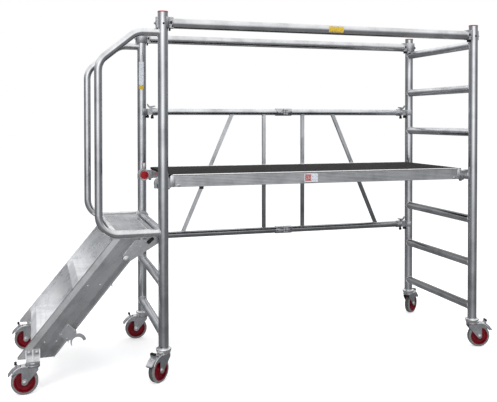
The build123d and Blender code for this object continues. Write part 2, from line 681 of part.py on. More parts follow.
# ====================================================================== stair
# Outlines here are (x from the left stile axis, z) unless noted.
SLOPE = radians(50.5)
SLOPE_COS, SLOPE_SIN = cos(SLOPE), sin(SLOPE)
STRINGER_T = 8.0
STRINGER_IN = STRINGER_Y + STRINGER_T   # inner faces, from the stile axes
STRINGER_TOP, STRINGER_FOOT, TOE_Z = 713, 160, 172
HIGH_X = -246           # upper edge at the stringer's top
LOW_X, LOW_Z = -118, 652                # top corner of the lower edge
LIP_W, LIP_OUT = 2.6, 3
LIP_Y = STRINGER_Y - LIP_OUT            # outer faces of the lips, from the stile axes
STRIP, STRIP_DEPTH = 30.0, 4            # bevelled strip along each long edge


def low_edge(z):
    """X of the stringer's lower edge at a height, from the stile axis."""
    return LOW_X - (LOW_Z - z) * SLOPE_COS / SLOPE_SIN


def high_edge(z):
    """X of the stringer's upper edge at a height, from the stile axis."""
    return HIGH_X - (STRINGER_TOP - z) * SLOPE_COS / SLOPE_SIN


def along(x, run, out):
    """A point at the stringer's top moved up the slope and square to it, downwards."""
    return (
        x + run * SLOPE_COS + out * SLOPE_SIN,
        STRINGER_TOP + run * SLOPE_SIN - out * SLOPE_COS,
    )


STRINGER = [
    (HIGH_X, STRINGER_TOP), (high_edge(TOE_Z), TOE_Z), (high_edge(TOE_Z), STRINGER_FOOT),
    (low_edge(STRINGER_FOOT), STRINGER_FOOT), (LOW_X, LOW_Z), (LOW_X, STRINGER_TOP),
]
STRINGER_OUTLINE = placed(STRINGER, LEFT_X, 0)
# Each long edge's X at the top, and the sign that leads from it into the plate.
LONG_EDGES = ((LEFT_X + HIGH_X, 1), (LEFT_X + low_edge(STRINGER_TOP), -1))

with BuildPart() as stair_stringers:
    for stile_y, inward in SIDES.values():
        y = stile_y + inward * STRINGER_Y
        face = upright(0, y, 0, inward)
        # plate
        with BuildSketch(face):
            with BuildLine():
                Polyline(*placed(STRINGER_OUTLINE, 0, 0, -inward), close=True)
            make_face()
        extrude(amount=STRINGER_T)
        # thin lips along both long edges, standing proud of the outer face
        with BuildSketch(face.offset(-LIP_OUT)):
            for x, into in LONG_EDGES:
                width = into * LIP_W
                lip = [along(x, 20, 0), along(x, -760, 0), along(x, -760, width), along(x, 20, width)]
                with BuildLine():
                    Polyline(*placed(lip, 0, 0, -inward), close=True)
                make_face()
            with BuildLine():
                Polyline(*placed(STRINGER_OUTLINE, 0, 0, -inward), close=True)
            make_face(mode=Mode.INTERSECT)
        extrude(amount=LIP_OUT)
        # strips along the edges bevelled back from the middle panel
        for x, into in LONG_EDGES:
            start_x, start_z = along(x, 60, 0)
            down_slope = Plane(
                origin=(start_x, y, start_z),
                x_dir=(0, inward, 0),
                z_dir=(-SLOPE_COS, 0, -SLOPE_SIN),
            )
            bevel = [(0, LIP_W), (STRIP_DEPTH, LIP_W), (0, STRIP)]
            with BuildSketch(down_slope):
                with BuildLine():
                    Polyline(*[(u, inward * into * v) for u, v in bevel], close=True)
                make_face()
            extrude(amount=1000, mode=Mode.SUBTRACT)
save(stair_stringers.part, "stair_stringers")

# Treads: folded sheet with a sloping nose.
TREADS = [(-405.0, -246.0, 503.0), (-605.0, -456.0, 245.0)]   # nose x, back x, top z
TREAD_W = WIDTH - 2 * STRINGER_IN
SHEET_T = 3
RIB_W, RIB_H = 5, 1.2
with BuildPart() as stair_treads:
    for nose, back, top in TREADS:
        section = [
            (nose, top), (back, top), (back, top - 28), (back - SHEET_T, top - 28),
            (back - SHEET_T, top - SHEET_T), (nose + 1.8, top - SHEET_T),
            (nose - 24, top - 41), (nose - 27, top - 40),
        ]
        with BuildSketch(side(FAR_Y - STRINGER_IN)):
            with BuildLine():
                Polyline(*placed(section, LEFT_X, 0), close=True)
            make_face()
        extrude(amount=TREAD_W)
        # ribs on top, running across the stair
        with Locations(*[(LEFT_X + nose + 22 + 28 * k, MID_Y, top) for k in range(5)]):
            Box(RIB_W, TREAD_W - 40, RIB_H, align=UP)
save(stair_treads.part, "stair_treads")

# Landing: a folded tray with turned-down ends, turned-up sides, a nose strip at
# the stair side and ribs across the top.
LANDING_Z, LAND_SIDE_UP, LAND_END_Z0 = 748.0, 7, 718
LAND_X0, LAND_X1 = LEFT_X - 250.0, LEFT_X - 40.0
LAND_MID_X, LAND_L = (LAND_X0 + LAND_X1) / 2, LAND_X1 - LAND_X0
LAND_W = WIDTH - 2 * LIP_Y
with BuildPart() as stair_landing:
    with Locations((LAND_MID_X, MID_Y, LANDING_Z - SHEET_T)):
        Box(LAND_L, LAND_W, SHEET_T, align=UP)
    for x, trim in ((LAND_X0 + SHEET_T / 2, 0), (LAND_X1 - SHEET_T / 2, 42)):
        with Locations((x, MID_Y, LAND_END_Z0)):
            Box(SHEET_T, LAND_W - trim, LANDING_Z - LAND_END_Z0, align=UP)
    for stile_y, inward in SIDES.values():
        with Locations((LAND_MID_X, stile_y + inward * (LIP_Y + SHEET_T / 2), STRINGER_TOP)):
            Box(LAND_L, SHEET_T, LANDING_Z + LAND_SIDE_UP - STRINGER_TOP, align=UP)
    with Locations((LAND_X0 + 12, MID_Y, LANDING_Z)):
        Box(24, LAND_W - 2 * SHEET_T, 1.5, align=UP)
    with Locations(*[(LAND_X0 + 44 + 26 * k, MID_Y, LANDING_Z) for k in range(6)]):
        Box(RIB_W, LAND_W - 50, RIB_H, align=UP)
save(stair_landing.part, "stair_landing")

# Hooks over the pivot rung, inside each stringer, and the plates that back
# them on the outer side, lying over the stringer's lower lip.
STAIR_HOOK_T, BACKING_T = 8, 5
BACKING = [(-136, 706), (-196, 630), (-168, 592), (-76, 700), (-84, 706)]
with BuildPart() as stair_hooks:
    for y, inward in SIDES.values():
        with BuildSketch(side(upper_end(y, inward, STRINGER_IN, STAIR_HOOK_T))):
            with Locations((LEFT_X, PIVOT_Z)):
                Circle(33)
            with Locations((LEFT_X - 176, 607)):
                Circle(16)
            make_hull()
            with Locations((LEFT_X, PIVOT_Z)):
                Circle(23.2, mode=Mode.SUBTRACT)
            with Locations((LEFT_X + 30, PIVOT_Z - 24)):
                Rectangle(60, 60, mode=Mode.SUBTRACT)
            with Locations((LEFT_X + 20, PIVOT_Z - 6)):
                Rectangle(40, 24, mode=Mode.SUBTRACT)
        extrude(amount=STAIR_HOOK_T)
        with BuildSketch(side(upper_end(y, inward, LIP_Y - BACKING_T, BACKING_T))):
            with BuildLine():
                Polyline(*placed(BACKING, LEFT_X, 0), close=True)
            make_face()
        extrude(amount=BACKING_T)
save(stair_hooks.part, "stair_hooks")

# Storage claws under the stringers, for parking the stair on a rung: a pad
# and a crescent jaw that opens away from the stringer.
STORAGE_T = 6
STORAGE_X, STORAGE_Z = LEFT_X - 415.0, 221.0        # jaw centre
STORAGE_R, STORAGE_BORE = 37, 27.5
# Wedge cut away to open the jaw, (degrees, reach) from the jaw centre.
MOUTH_RAYS = [(208, 80), (250, 120), (290, 120), (330, 120), (15, 80)]
MOUTH = [(0, 0)] + [
    (reach * cos(radians(angle)), reach * sin(radians(angle))) for angle, reach in MOUTH_RAYS
]
PAD = [(-461, 315), (-421, 281), (-419, 257), (-437, 242), (-463, 231), (-502, 264)]
with BuildPart() as storage_claws:
    for y, inward in SIDES.values():
        with BuildSketch(side(upper_end(y, inward, LIP_Y - STORAGE_T, STORAGE_T))):
            with Locations((LEFT_X - 412, 228)):
                Circle(STORAGE_R)
            with BuildLine():
                Polyline(*placed(MOUTH, STORAGE_X, STORAGE_Z), close=True)
            make_face(mode=Mode.SUBTRACT)
            with BuildLine():
                Polyline(*placed(PAD, LEFT_X, 0), close=True)
            make_face()
            with Locations((STORAGE_X, STORAGE_Z)):
                Circle(STORAGE_BORE, mode=Mode.SUBTRACT)
        extrude(amount=STORAGE_T)
save(storage_claws.part, "storage_claws")
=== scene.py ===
"""A mobile work tower: two end frames, guardrails, a back brace, a platform and a stair.

Metres, z up from the floor. x runs along the platform from the left end frame to the right
one; y runs from the near side, where the camera stands, to the far side. The stair hangs
beyond the left end frame.
"""

import json
from math import atan2, cos, pi, radians, sin, sqrt

import bmesh
import bpy
from mathutils import Matrix, Vector


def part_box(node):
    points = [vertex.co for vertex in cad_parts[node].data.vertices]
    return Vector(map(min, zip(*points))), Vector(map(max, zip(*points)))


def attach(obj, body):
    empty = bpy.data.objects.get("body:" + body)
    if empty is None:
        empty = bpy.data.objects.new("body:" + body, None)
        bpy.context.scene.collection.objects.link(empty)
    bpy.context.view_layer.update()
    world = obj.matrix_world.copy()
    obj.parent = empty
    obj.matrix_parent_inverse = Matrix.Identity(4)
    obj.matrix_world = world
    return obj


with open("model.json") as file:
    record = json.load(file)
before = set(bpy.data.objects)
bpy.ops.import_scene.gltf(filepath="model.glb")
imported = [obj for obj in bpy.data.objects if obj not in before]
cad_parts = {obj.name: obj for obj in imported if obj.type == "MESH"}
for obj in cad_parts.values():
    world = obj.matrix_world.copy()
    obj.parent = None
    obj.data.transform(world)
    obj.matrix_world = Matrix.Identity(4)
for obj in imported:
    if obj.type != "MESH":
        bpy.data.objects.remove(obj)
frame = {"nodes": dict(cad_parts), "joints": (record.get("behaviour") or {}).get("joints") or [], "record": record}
NODES = frame["nodes"]
JOINTS = {joint["name"]: joint for joint in frame["joints"]}


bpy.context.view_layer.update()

# ------------------------------------------------------------------ driving dimensions
STILE_RADIUS = 0.0254
RUNG_RADIUS = 0.0225
RAIL_RADIUS = 0.019           # handrails and brace rails
STILES_LOW, STILES_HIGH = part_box("stiles")
X_LEFT, X_RIGHT = STILES_LOW.x + STILE_RADIUS, STILES_HIGH.x - STILE_RADIUS
Y_NEAR, Y_FAR = STILES_LOW.y + STILE_RADIUS, STILES_HIGH.y - STILE_RADIUS
X_MID = (X_LEFT + X_RIGHT) / 2
RUNG_Z = [0.230 + 0.250 * k for k in range(7)]
LEFT_RUNGS = 3                # the left frame has only the lowest rungs
STUB_Z = 0.980                # platform stubs
HANDRAIL_Z = (1.735, 0.741)   # where the handrails meet the left stiles
GUARD_LOW, GUARD_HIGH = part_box("near_guardrail_tube")
GUARD_Z = (GUARD_LOW.z + GUARD_HIGH.z) / 2
BRACE_LOW, BRACE_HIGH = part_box("brace_right_tubes")
BRACE_Z = (BRACE_LOW.z + RAIL_RADIUS, BRACE_HIGH.z - RAIL_RADIUS)

# in_x and in_y are +1 or -1, pointing from a stile to the middle of the tower
SIDES = (("near", Y_NEAR, 1), ("far", Y_FAR, -1))
ENDS = ((X_LEFT, 1), (X_RIGHT, -1))
FEET = ("near_left", "far_left", "near_right", "far_right", "stair_near", "stair_far")


# ------------------------------------------------------------------ node tools
def tint(colour, gain, lift=0.0):
    return tuple(min(1.0, c * gain + lift) for c in colour)


def stretched(along, lengthwise, across):
    """Noise scales for a grain that runs along one axis."""
    return tuple(lengthwise if axis == along else across for axis in "xyz")


class Nodes:
    """Adds nodes to a cleared tree; most methods return the new node's output."""

    def __init__(self, tree):
        self.tree = tree
        tree.nodes.clear()

    def feed(self, socket, value):
        """Link an output to a socket, or set the socket's own value."""
        if isinstance(value, bpy.types.NodeSocket):
            self.tree.links.new(value, socket)
        elif socket.type == "RGBA":
            socket.default_value = (*value, 1)
        else:
            socket.default_value = value

    def add(self, kind, inputs=None, **settings):
        node = self.tree.nodes.new("ShaderNode" + kind)
        for key, value in settings.items():
            setattr(node, key, value)
        for key, value in (inputs or {}).items():
            self.feed(node.inputs[key], value)
        return node

    def math(self, operation, *values):
        return self.add("Math", dict(enumerate(values)), operation=operation).outputs[0]

    def scale_add(self, value, gain, offset):
        return self.math("MULTIPLY_ADD", value, gain, offset)

    def dot(self, vector, direction):
        node = self.add("VectorMath", {0: vector, 1: direction}, operation="DOT_PRODUCT")
        return node.outputs["Value"]

    def ramp(self, factor, stops):
        """stops are (position, colour), or (position, level) for a grey."""
        node = self.add("ValToRGB")
        elements = node.color_ramp.elements
        while len(elements) > 1:
            elements.remove(elements[0])
        for k, (position, colour) in enumerate(stops):
            element = elements.new(position) if k else elements[0]
            element.position = position
            rgb = colour if isinstance(colour, tuple) else (colour,) * 3
            element.color = (*rgb, 1)
        self.feed(node.inputs["Fac"], factor)
        return node.outputs["Color"]

    def mix(self, factor, first, second, blend="MIX"):
        inputs = {0: factor, 6: first, 7: second}
        return self.add("Mix", inputs, data_type="RGBA", blend_type=blend).outputs[2]

    def multiply(self, first, second):
        return self.mix(1.0, first, second, "MULTIPLY")

    def plus(self, first, second):
        return self.mix(1.0, first, second, "ADD")


class Material(Nodes):
    """A Principled material textured in object space."""

    def __init__(self, name):
        self.data = bpy.data.materials.new(name)
        self.data.use_nodes = True
        super().__init__(self.data.node_tree)
        output = self.add("OutputMaterial")
        self.bsdf = self.add("BsdfPrincipled")
        self.feed(output.inputs["Surface"], self.bsdf.outputs["BSDF"])
        coord = self.add("TexCoord")
        self.place = coord.outputs["Object"]
        self.normal = coord.outputs["Normal"]

    def set(self, name, value):
        self.feed(self.bsdf.inputs[name], value)

    def mapping(self, vector, **inputs):
        return self.add("Mapping", {"Vector": vector, **inputs}).outputs["Vector"]

    def noise(self, scale, detail=3.0, stretch=None, rough=0.55, turn=0.0):
        """turn is in degrees about y, stretch is a scale for each axis."""
        vector = self.place
        if turn:
            vector = self.mapping(vector, Rotation=(0, radians(turn), 0))
        if stretch:
            vector = self.mapping(vector, Scale=stretch)
        inputs = {"Scale": scale, "Detail": detail, "Roughness": rough, "Vector": vector}
        return self.add("TexNoise", inputs).outputs["Fac"]

    def bump(self, height, strength, distance):
        inputs = {"Strength": strength, "Distance": distance, "Height": height}
        self.set("Normal", self.add("Bump", inputs).outputs["Normal"])


# ------------------------------------------------------------------ material kinds
ALUMINIUM = (0.78, 0.785, 0.80)


def aluminium(name, base=ALUMINIUM, along="z", rough=0.26, var=0.10, streak=0.16, blotch=0.14,
              strength=0.10, dirt=0.12, turn=0.0, metal=1.0):
    """Drawn or extruded aluminium: die lines along one axis, smudges, dull patches.

    var spreads the roughness, streak darkens the lines, blotch is the weight of the smudges.
    """
    m = Material(name)
    lines = m.noise(scale=1.0, detail=4, stretch=stretched(along, 5, 700), turn=turn)
    patches = m.noise(scale=9.0, detail=5)
    smear = m.noise(scale=3.0, stretch=stretched(along, 2, 14), turn=turn)
    grain = m.noise(scale=900.0, detail=2)
    dark = tint(base, gain=1 - dirt - 0.18)
    light = tint(base, gain=1.10)
    colour = m.ramp(patches, [(0.30, dark), (0.52, base), (0.72, light)])
    colour = m.multiply(colour, m.ramp(lines, [(0.3, 1 - streak), (0.62, 1.0)]))
    smudge = m.ramp(smear, [(0.42, (0.30, 0.31, 0.33)), (0.6, base)])
    m.set("Base Color", m.mix(blotch, colour, smudge))
    m.set("Metallic", metal)
    dullness = m.scale_add(patches, gain=2 * var, offset=rough - var)
    smear_dullness = m.math("MULTIPLY", m.math("SUBTRACT", smear, 0.5), 0.12)
    m.set("Roughness", m.math("ADD", dullness, smear_dullness))
    line_height = m.math("MULTIPLY", lines, 0.7)
    grain_height = m.math("MULTIPLY", grain, 0.3)
    m.bump(m.math("ADD", line_height, grain_height), strength=strength, distance=0.0002)
    return m


def paint_light_and_shade(m, tone, axis, span, facing=(0, 0, 1), spread=0.0, min_x=None, ceiling=1.0):
    """Paint light and shade into a material's colour, by the way its surface faces and its place along an axis (0
    to 2).

    tone is (cosine to facing, level). It is full at the start of the span and reaches
    ceiling at its end, with an edge broken up by spread. Below min_x it is ceiling only.
    """
    cosine = m.dot(m.normal, tuple(Vector(facing).normalized()))
    turned = m.scale_add(cosine, gain=0.5, offset=0.5)
    level = m.ramp(turned, [(0.5 + 0.5 * c, value) for c, value in tone])
    place = m.add("SeparateXYZ", {0: m.place}).outputs
    along = m.math("DIVIDE", m.math("SUBTRACT", place[axis], span[0]), span[1] - span[0])
    ragged = m.math("SUBTRACT", m.noise(scale=14, detail=4), 0.5)
    along = m.math("ADD", along, m.math("MULTIPLY", ragged, spread))
    fade = m.ramp(along, [(0.0, 0.0), (1.0, 1.0)])
    if min_x is not None:
        fade = m.mix(m.math("LESS_THAN", place[0], min_x), fade, (1.0, 1.0, 1.0))
    level = m.mix(fade, level, (ceiling,) * 3)
    unshaded = m.bsdf.inputs["Base Color"].links[0].from_socket
    # painted light and shade: the surface's own colour times the level for its facing and place
    m.set("Base Color", m.multiply(unshaded, level))
    return m


def cast(name, base, rough, scale=420, strength=0.35, dirt=0.35):
    """Cast or plated metal: fine pitted skin of the given scale, darker in the pits by dirt."""
    m = Material(name)
    pits = m.noise(scale=scale, rough=0.7)
    patches = m.noise(scale=30, detail=4)
    colour = m.ramp(pits, [(0.34, tint(base, 1 - dirt)), (0.5, base), (0.7, tint(base, 1.12))])
    dull = m.ramp(patches, [(0.35, tint(base, 0.62)), (0.65, base)])
    m.set("Base Color", m.mix(0.35, colour, dull))
    m.set("Metallic", 1.0)
    m.set("Roughness", m.scale_add(patches, gain=0.3, offset=rough - 0.15))
    m.bump(pits, strength=strength, distance=0.0004)
    return m


def plastic(name, base, rough, dust, spec, strength=0.12):
    """Moulded plastic or rubber: grained skin, flow marks, scuffs that dust makes pale."""
    m = Material(name)
    skin = m.noise(scale=260, detail=2)
    flow = m.noise(scale=22, detail=4)
    scuff = m.noise(scale=60, detail=5, rough=0.75)
    flow_shift = 0.25
    colour = m.ramp(flow, [(0.35, tint(base, 1 - flow_shift)), (0.65, tint(base, 1 + flow_shift))])
    m.set("Specular IOR Level", spec)
    scuffed = m.ramp(scuff, [(0.60, 0), (0.74, 0.45)])
    m.set("Base Color", m.mix(scuffed, colour, tint(base, gain=0.8, lift=dust)))
    m.set("Roughness", m.scale_add(scuff, gain=0.3, offset=rough - 0.15))
    m.bump(skin, strength=strength, distance=0.0004)
    return m


def tyre(name, axle):
    """Grey rubber with a darker, worn tread band; axle is the wheel's axis."""
    m = Material(name)
    facing = m.math("ABSOLUTE", m.dot(m.normal, axle))
    wear = m.noise(scale=90, detail=4)
    side = m.ramp(wear, [(0.35, (0.105, 0.107, 0.110)), (0.65, (0.165, 0.167, 0.170))])
    tread = m.ramp(wear, [(0.35, (0.035, 0.035, 0.037)), (0.65, (0.075, 0.074, 0.072))])
    m.set("Base Color", m.mix(m.ramp(facing, [(0.15, 0), (0.5, 1)]), tread, side))
    m.set("Roughness", m.scale_add(wear, gain=0.3, offset=0.42))
    m.bump(m.noise(scale=500), strength=0.25, distance=0.0004)
    return m


def plywood(name):
    """Film-faced board: pressed anti-slip mesh, brown black, scuffed and dusty."""
    m = Material(name)
    waves = []
    for angle in (45, -45):
        vector = m.mapping(m.place, Rotation=(0, 0, radians(angle)))
        inputs = {"Scale": 95.0, "Distortion": 0.4, "Vector": vector}
        waves.append(m.add("TexWave", inputs).outputs["Fac"])
    mesh = m.math("MAXIMUM", *waves)
    dust = m.noise(scale=5, detail=6, stretch=(1, 2.5, 1))
    fine = m.noise(scale=180)
    base = m.ramp(dust, [
        (0.30, (0.008, 0.0065, 0.0065)), (0.58, (0.013, 0.011, 0.011)),
        (0.80, (0.032, 0.029, 0.028)),
    ])
    worn = m.ramp(mesh, [(0.55, 0.62), (0.95, (1.25, 1.22, 1.2))])
    m.set("Base Color", m.multiply(base, worn))
    m.set("Roughness", m.scale_add(fine, gain=0.25, offset=0.50))
    m.set("Specular IOR Level", 0.06)
    m.bump(mesh, strength=0.7, distance=0.0008)
    return m


def label(name, ground, ink, scale):
    """A printed sticker with plain bars, made of bricks, for its printing."""
    m = Material(name)
    vector = m.mapping(m.place, Rotation=(radians(90), 0, 0), Scale=(scale,) * 3)
    bars = m.add("TexBrick", {
        "Color1": ink, "Color2": ground, "Mortar": ground, "Scale": 1.0, "Mortar Size": 0.28,
        "Mortar Smooth": 0.1, "Bias": -0.1, "Brick Width": 1.7, "Row Height": 1.0,
        "Vector": vector,
    }, offset=0.37, offset_frequency=2).outputs["Color"]
    fade = m.noise(scale=70, detail=4)
    faded = m.ramp(fade, [(0.4, 0), (0.8, 0.5)])
    m.set("Base Color", m.mix(faded, bars, tint(ground, gain=0.85, lift=0.06)))
    m.set("Roughness", m.scale_add(fade, gain=0.2, offset=0.3))
    m.bump(fade, strength=0.1, distance=0.0002)
    return m


# ------------------------------------------------------------------ materials
MATERIALS = {
    "tube_z": aluminium("tube_upright", rough=0.15, var=0.04, strength=0.05),
    "tube_y": aluminium("tube_rung", along="y", rough=0.18, var=0.05, strength=0.05),
    # painted shade: the right frame's lower rungs are darker on their upper faces, fading out between 0.85 and
    # 1.15 m
    "rung": paint_light_and_shade(
        aluminium("tube_rung_painted_shade", along="y", rough=0.22, var=0.06),
        tone=[(0.12, 1.0), (0.60, 0.22), (1.0, 0.17)],
        axis=2, span=(0.85, 1.15), spread=0.2, min_x=0.0),
    "tube_x": aluminium("tube_rail", along="x", rough=0.18, var=0.05, strength=0.04),
    "handrail": aluminium("tube_handrail", rough=0.16, var=0.05, streak=0.08, strength=0.05),
    # painted shade: the brace is darker below the platform, fading out between 0.70 and 1.00 m
    "brace_x": paint_light_and_shade(
        aluminium("tube_brace", base=(0.80, 0.82, 0.84), along="x", rough=0.24, strength=0.04),
        tone=[(-1.0, 0.55), (1.0, 0.45)], axis=2, span=(0.70, 1.00)),
    # painted highlight and shade: the webs are a lighter copy of the tube aluminium, and painted shade darkens
    # them below the deck, except within 0.55 m of the left stiles
    "brace_z": paint_light_and_shade(
        aluminium("tube_web", base=(0.93, 0.94, 0.955), rough=0.30, strength=0.05),
        tone=[(-1.0, 0.34), (1.0, 0.34)],
        axis=2, span=(0.94, 1.04), spread=0.1, min_x=X_LEFT + 0.55),
    "extruded": aluminium("extruded_rail", base=(0.74, 0.745, 0.76), along="x", rough=0.34,
                          strength=0.16),
    # painted light and shade: the nearer stringer is darker, its lips facing up darkest and its faces turned down
    # lighter; the far stringer is painted 1.3 times lighter
    "stringer": paint_light_and_shade(
        aluminium("stringer", base=(0.76, 0.765, 0.78), along="x", rough=0.27, var=0.06,
                  strength=0.05, streak=0.06, blotch=0.10, turn=50.5),
        tone=[(-0.5, 1.2), (-0.2, 1.1), (-0.05, 0.68), (0.05, 0.68), (0.30, 0.47), (1.0, 0.47)],
        facing=(-0.77, 0, 0.64), axis=1, span=(Y_NEAR + 0.25, Y_FAR - 0.30), ceiling=1.30),
    "sheet": aluminium("pressed_sheet", base=(0.92, 0.925, 0.935), along="y", rough=0.34,
                       streak=0.06, blotch=0.06, dirt=0.04, metal=0.6),
    "landing": aluminium("landing_sheet", base=(0.64, 0.645, 0.66), along="y", rough=0.30,
                         streak=0.10),
}

# key: name, colour, roughness, pit scale, bump strength, dirt in the pits
CAST_METALS = {
    "weld": ("weld_metal", (0.80, 0.80, 0.81), 0.30, 900, 0.2, 0.2),
    "cast": ("cast_aluminium", (0.62, 0.63, 0.65), 0.40),
    "zinc": ("zinc_steel", (0.78, 0.78, 0.79), 0.30, 240, 0.08, 0.15),
    "fork": ("fork_steel", (0.64, 0.64, 0.66), 0.27, 240, 0.08, 0.2),
    # painted highlight: a near-white, smoother metal for thin edges, beads, cups and the nosing, standing in for
    # the glints along them
    "edge": ("rubbed_edge", (0.96, 0.96, 0.965), 0.24, 300, 0.05, 0.08),
    "mount": ("mount_casting", (0.86, 0.86, 0.87), 0.30, 420, 0.2, 0.25),
    "pedal": ("pedal_steel", (0.74, 0.74, 0.76), 0.30, 240, 0.10, 0.2),
    "lever": ("lever_steel", (0.50, 0.51, 0.53), 0.34, 300, 0.10, 0.25),
    "rivet": ("rivet_steel", (0.72, 0.72, 0.73), 0.28, 600, 0.06, 0.2),
}
# key: name, colour, roughness, dust on the scuffs, specular level, bump strength
PLASTICS = {
    "red": ("red_plastic", (0.30, 0.012, 0.018), 0.40, 0.02, 0.35),
    "knob": ("red_knob", (0.26, 0.003, 0.007), 0.30, 0.012, 0.35),
    "wheel": ("crimson_wheel", (0.130, 0.001, 0.006), 0.30, 0.008, 0.22),
    "black": ("black_plastic", (0.012, 0.012, 0.013), 0.42, 0.01, 0.3),
    "rubber": ("black_rubber", (0.014, 0.014, 0.015), 0.60, 0.01, 0.25, 0.3),
}
# name: ground colour, ink colour, bars per metre
LABELS = {
    "label_yellow": ((0.55, 0.37, 0.02), (0.08, 0.06, 0.03), 150),
    "label_white": ((0.50, 0.52, 0.55), (0.16, 0.20, 0.28), 130),
    "label_red": ((0.28, 0.02, 0.03), (0.55, 0.50, 0.45), 170),
}
for key, values in CAST_METALS.items():
    MATERIALS[key] = cast(*values)
for key, values in PLASTICS.items():
    MATERIALS[key] = plastic(*values)
MATERIALS["ply"] = plywood("film_faced_board")
for key, values in LABELS.items():
    MATERIALS[key] = label(key, *values)
for foot in FEET:
    MATERIALS["tyre_" + foot] = tyre("tyre_" + foot, JOINTS[foot + "_wheel_spin"]["axis"])

# ------------------------------------------------------------------ looks of the CAD pieces
NODE_MATERIALS = {
    "stiles": "tube_z", "rungs": "rung", "stile_caps": "red", "handrails": "handrail",
    "platform_stubs": "tube_y", "castor_stems": "zinc", "near_lock_knob": "knob",
    "far_lock_knob": "knob", "deck_board": "ply", "deck_rails": "extruded",
    "deck_cross_members": "extruded", "deck_hooks": "cast", "stair_stringers": "stringer",
    "stair_treads": "sheet", "stair_landing": "landing", "stair_hooks": "cast",
    "storage_claws": "cast", "stair_castor_mounts": "mount",
}
for side in ("near", "far"):
    NODE_MATERIALS[side + "_guardrail_tube"] = "tube_x"
    NODE_MATERIALS[side + "_guardrail_claws"] = "cast"
    for end in ("left", "right"):
        NODE_MATERIALS[f"{side}_{end}_trigger"] = "black"
BRACE_MATERIALS = {
    "tubes": "brace_x", "webs": "brace_z", "fittings": "cast",
    "lower_lever": "lever", "upper_lever": "lever",
}
for half in ("left", "right"):
    for part, key in BRACE_MATERIALS.items():
        NODE_MATERIALS[f"brace_{half}_{part}"] = key
for foot in FEET:
    NODE_MATERIALS[foot + "_castor_fork"] = "fork"
    NODE_MATERIALS[foot + "_wheel_core"] = "wheel"
    NODE_MATERIALS[foot + "_tyre"] = "tyre_" + foot
    NODE_MATERIALS[foot + "_brake_pedal"] = "pedal"

for name, node in NODES.items():
    node.data.materials.clear()
    node.data.materials.append(MATERIALS[NODE_MATERIALS[name]].data)

LARGE_EDGE, SMALL_EDGE = 0.0007, 0.0005   # widths of the softened edges
SOFTENED = {
    LARGE_EDGE: [
        "deck_hooks", "stair_hooks", "storage_claws", "near_guardrail_claws",
        "far_guardrail_claws", "brace_left_fittings", "brace_right_fittings",
        "stair_stringers", "deck_rails", "stair_treads", "stair_landing",
    ],
    SMALL_EDGE: ["stair_castor_mounts"]
    + [foot + "_castor_fork" for foot in FEET] + [foot + "_brake_pedal" for foot in FEET],
}


def soften(node, width):
    weld = node.modifiers.new("join", "WELD")
    weld.merge_threshold = 0.000002
    bevel = node.modifiers.new("soften", "BEVEL")
    bevel.width = width
    bevel.segments = 2
    bevel.limit_method = "ANGLE"
    bevel.angle_limit = radians(38)
    bevel.harden_normals = True
    bevel.use_clamp_overlap = True


for width, names in SOFTENED.items():
    for name in names:
        soften(NODES[name], width)


# ------------------------------------------------------------------ mesh tools
def add_object(name, data):
    added = bpy.data.objects.new(name, data)
    bpy.context.scene.collection.objects.link(added)
    return added


def axis_frame(axis):
    z = Vector(axis).normalized()
    x = z.orthogonal().normalized()
    return x, z.cross(x), z


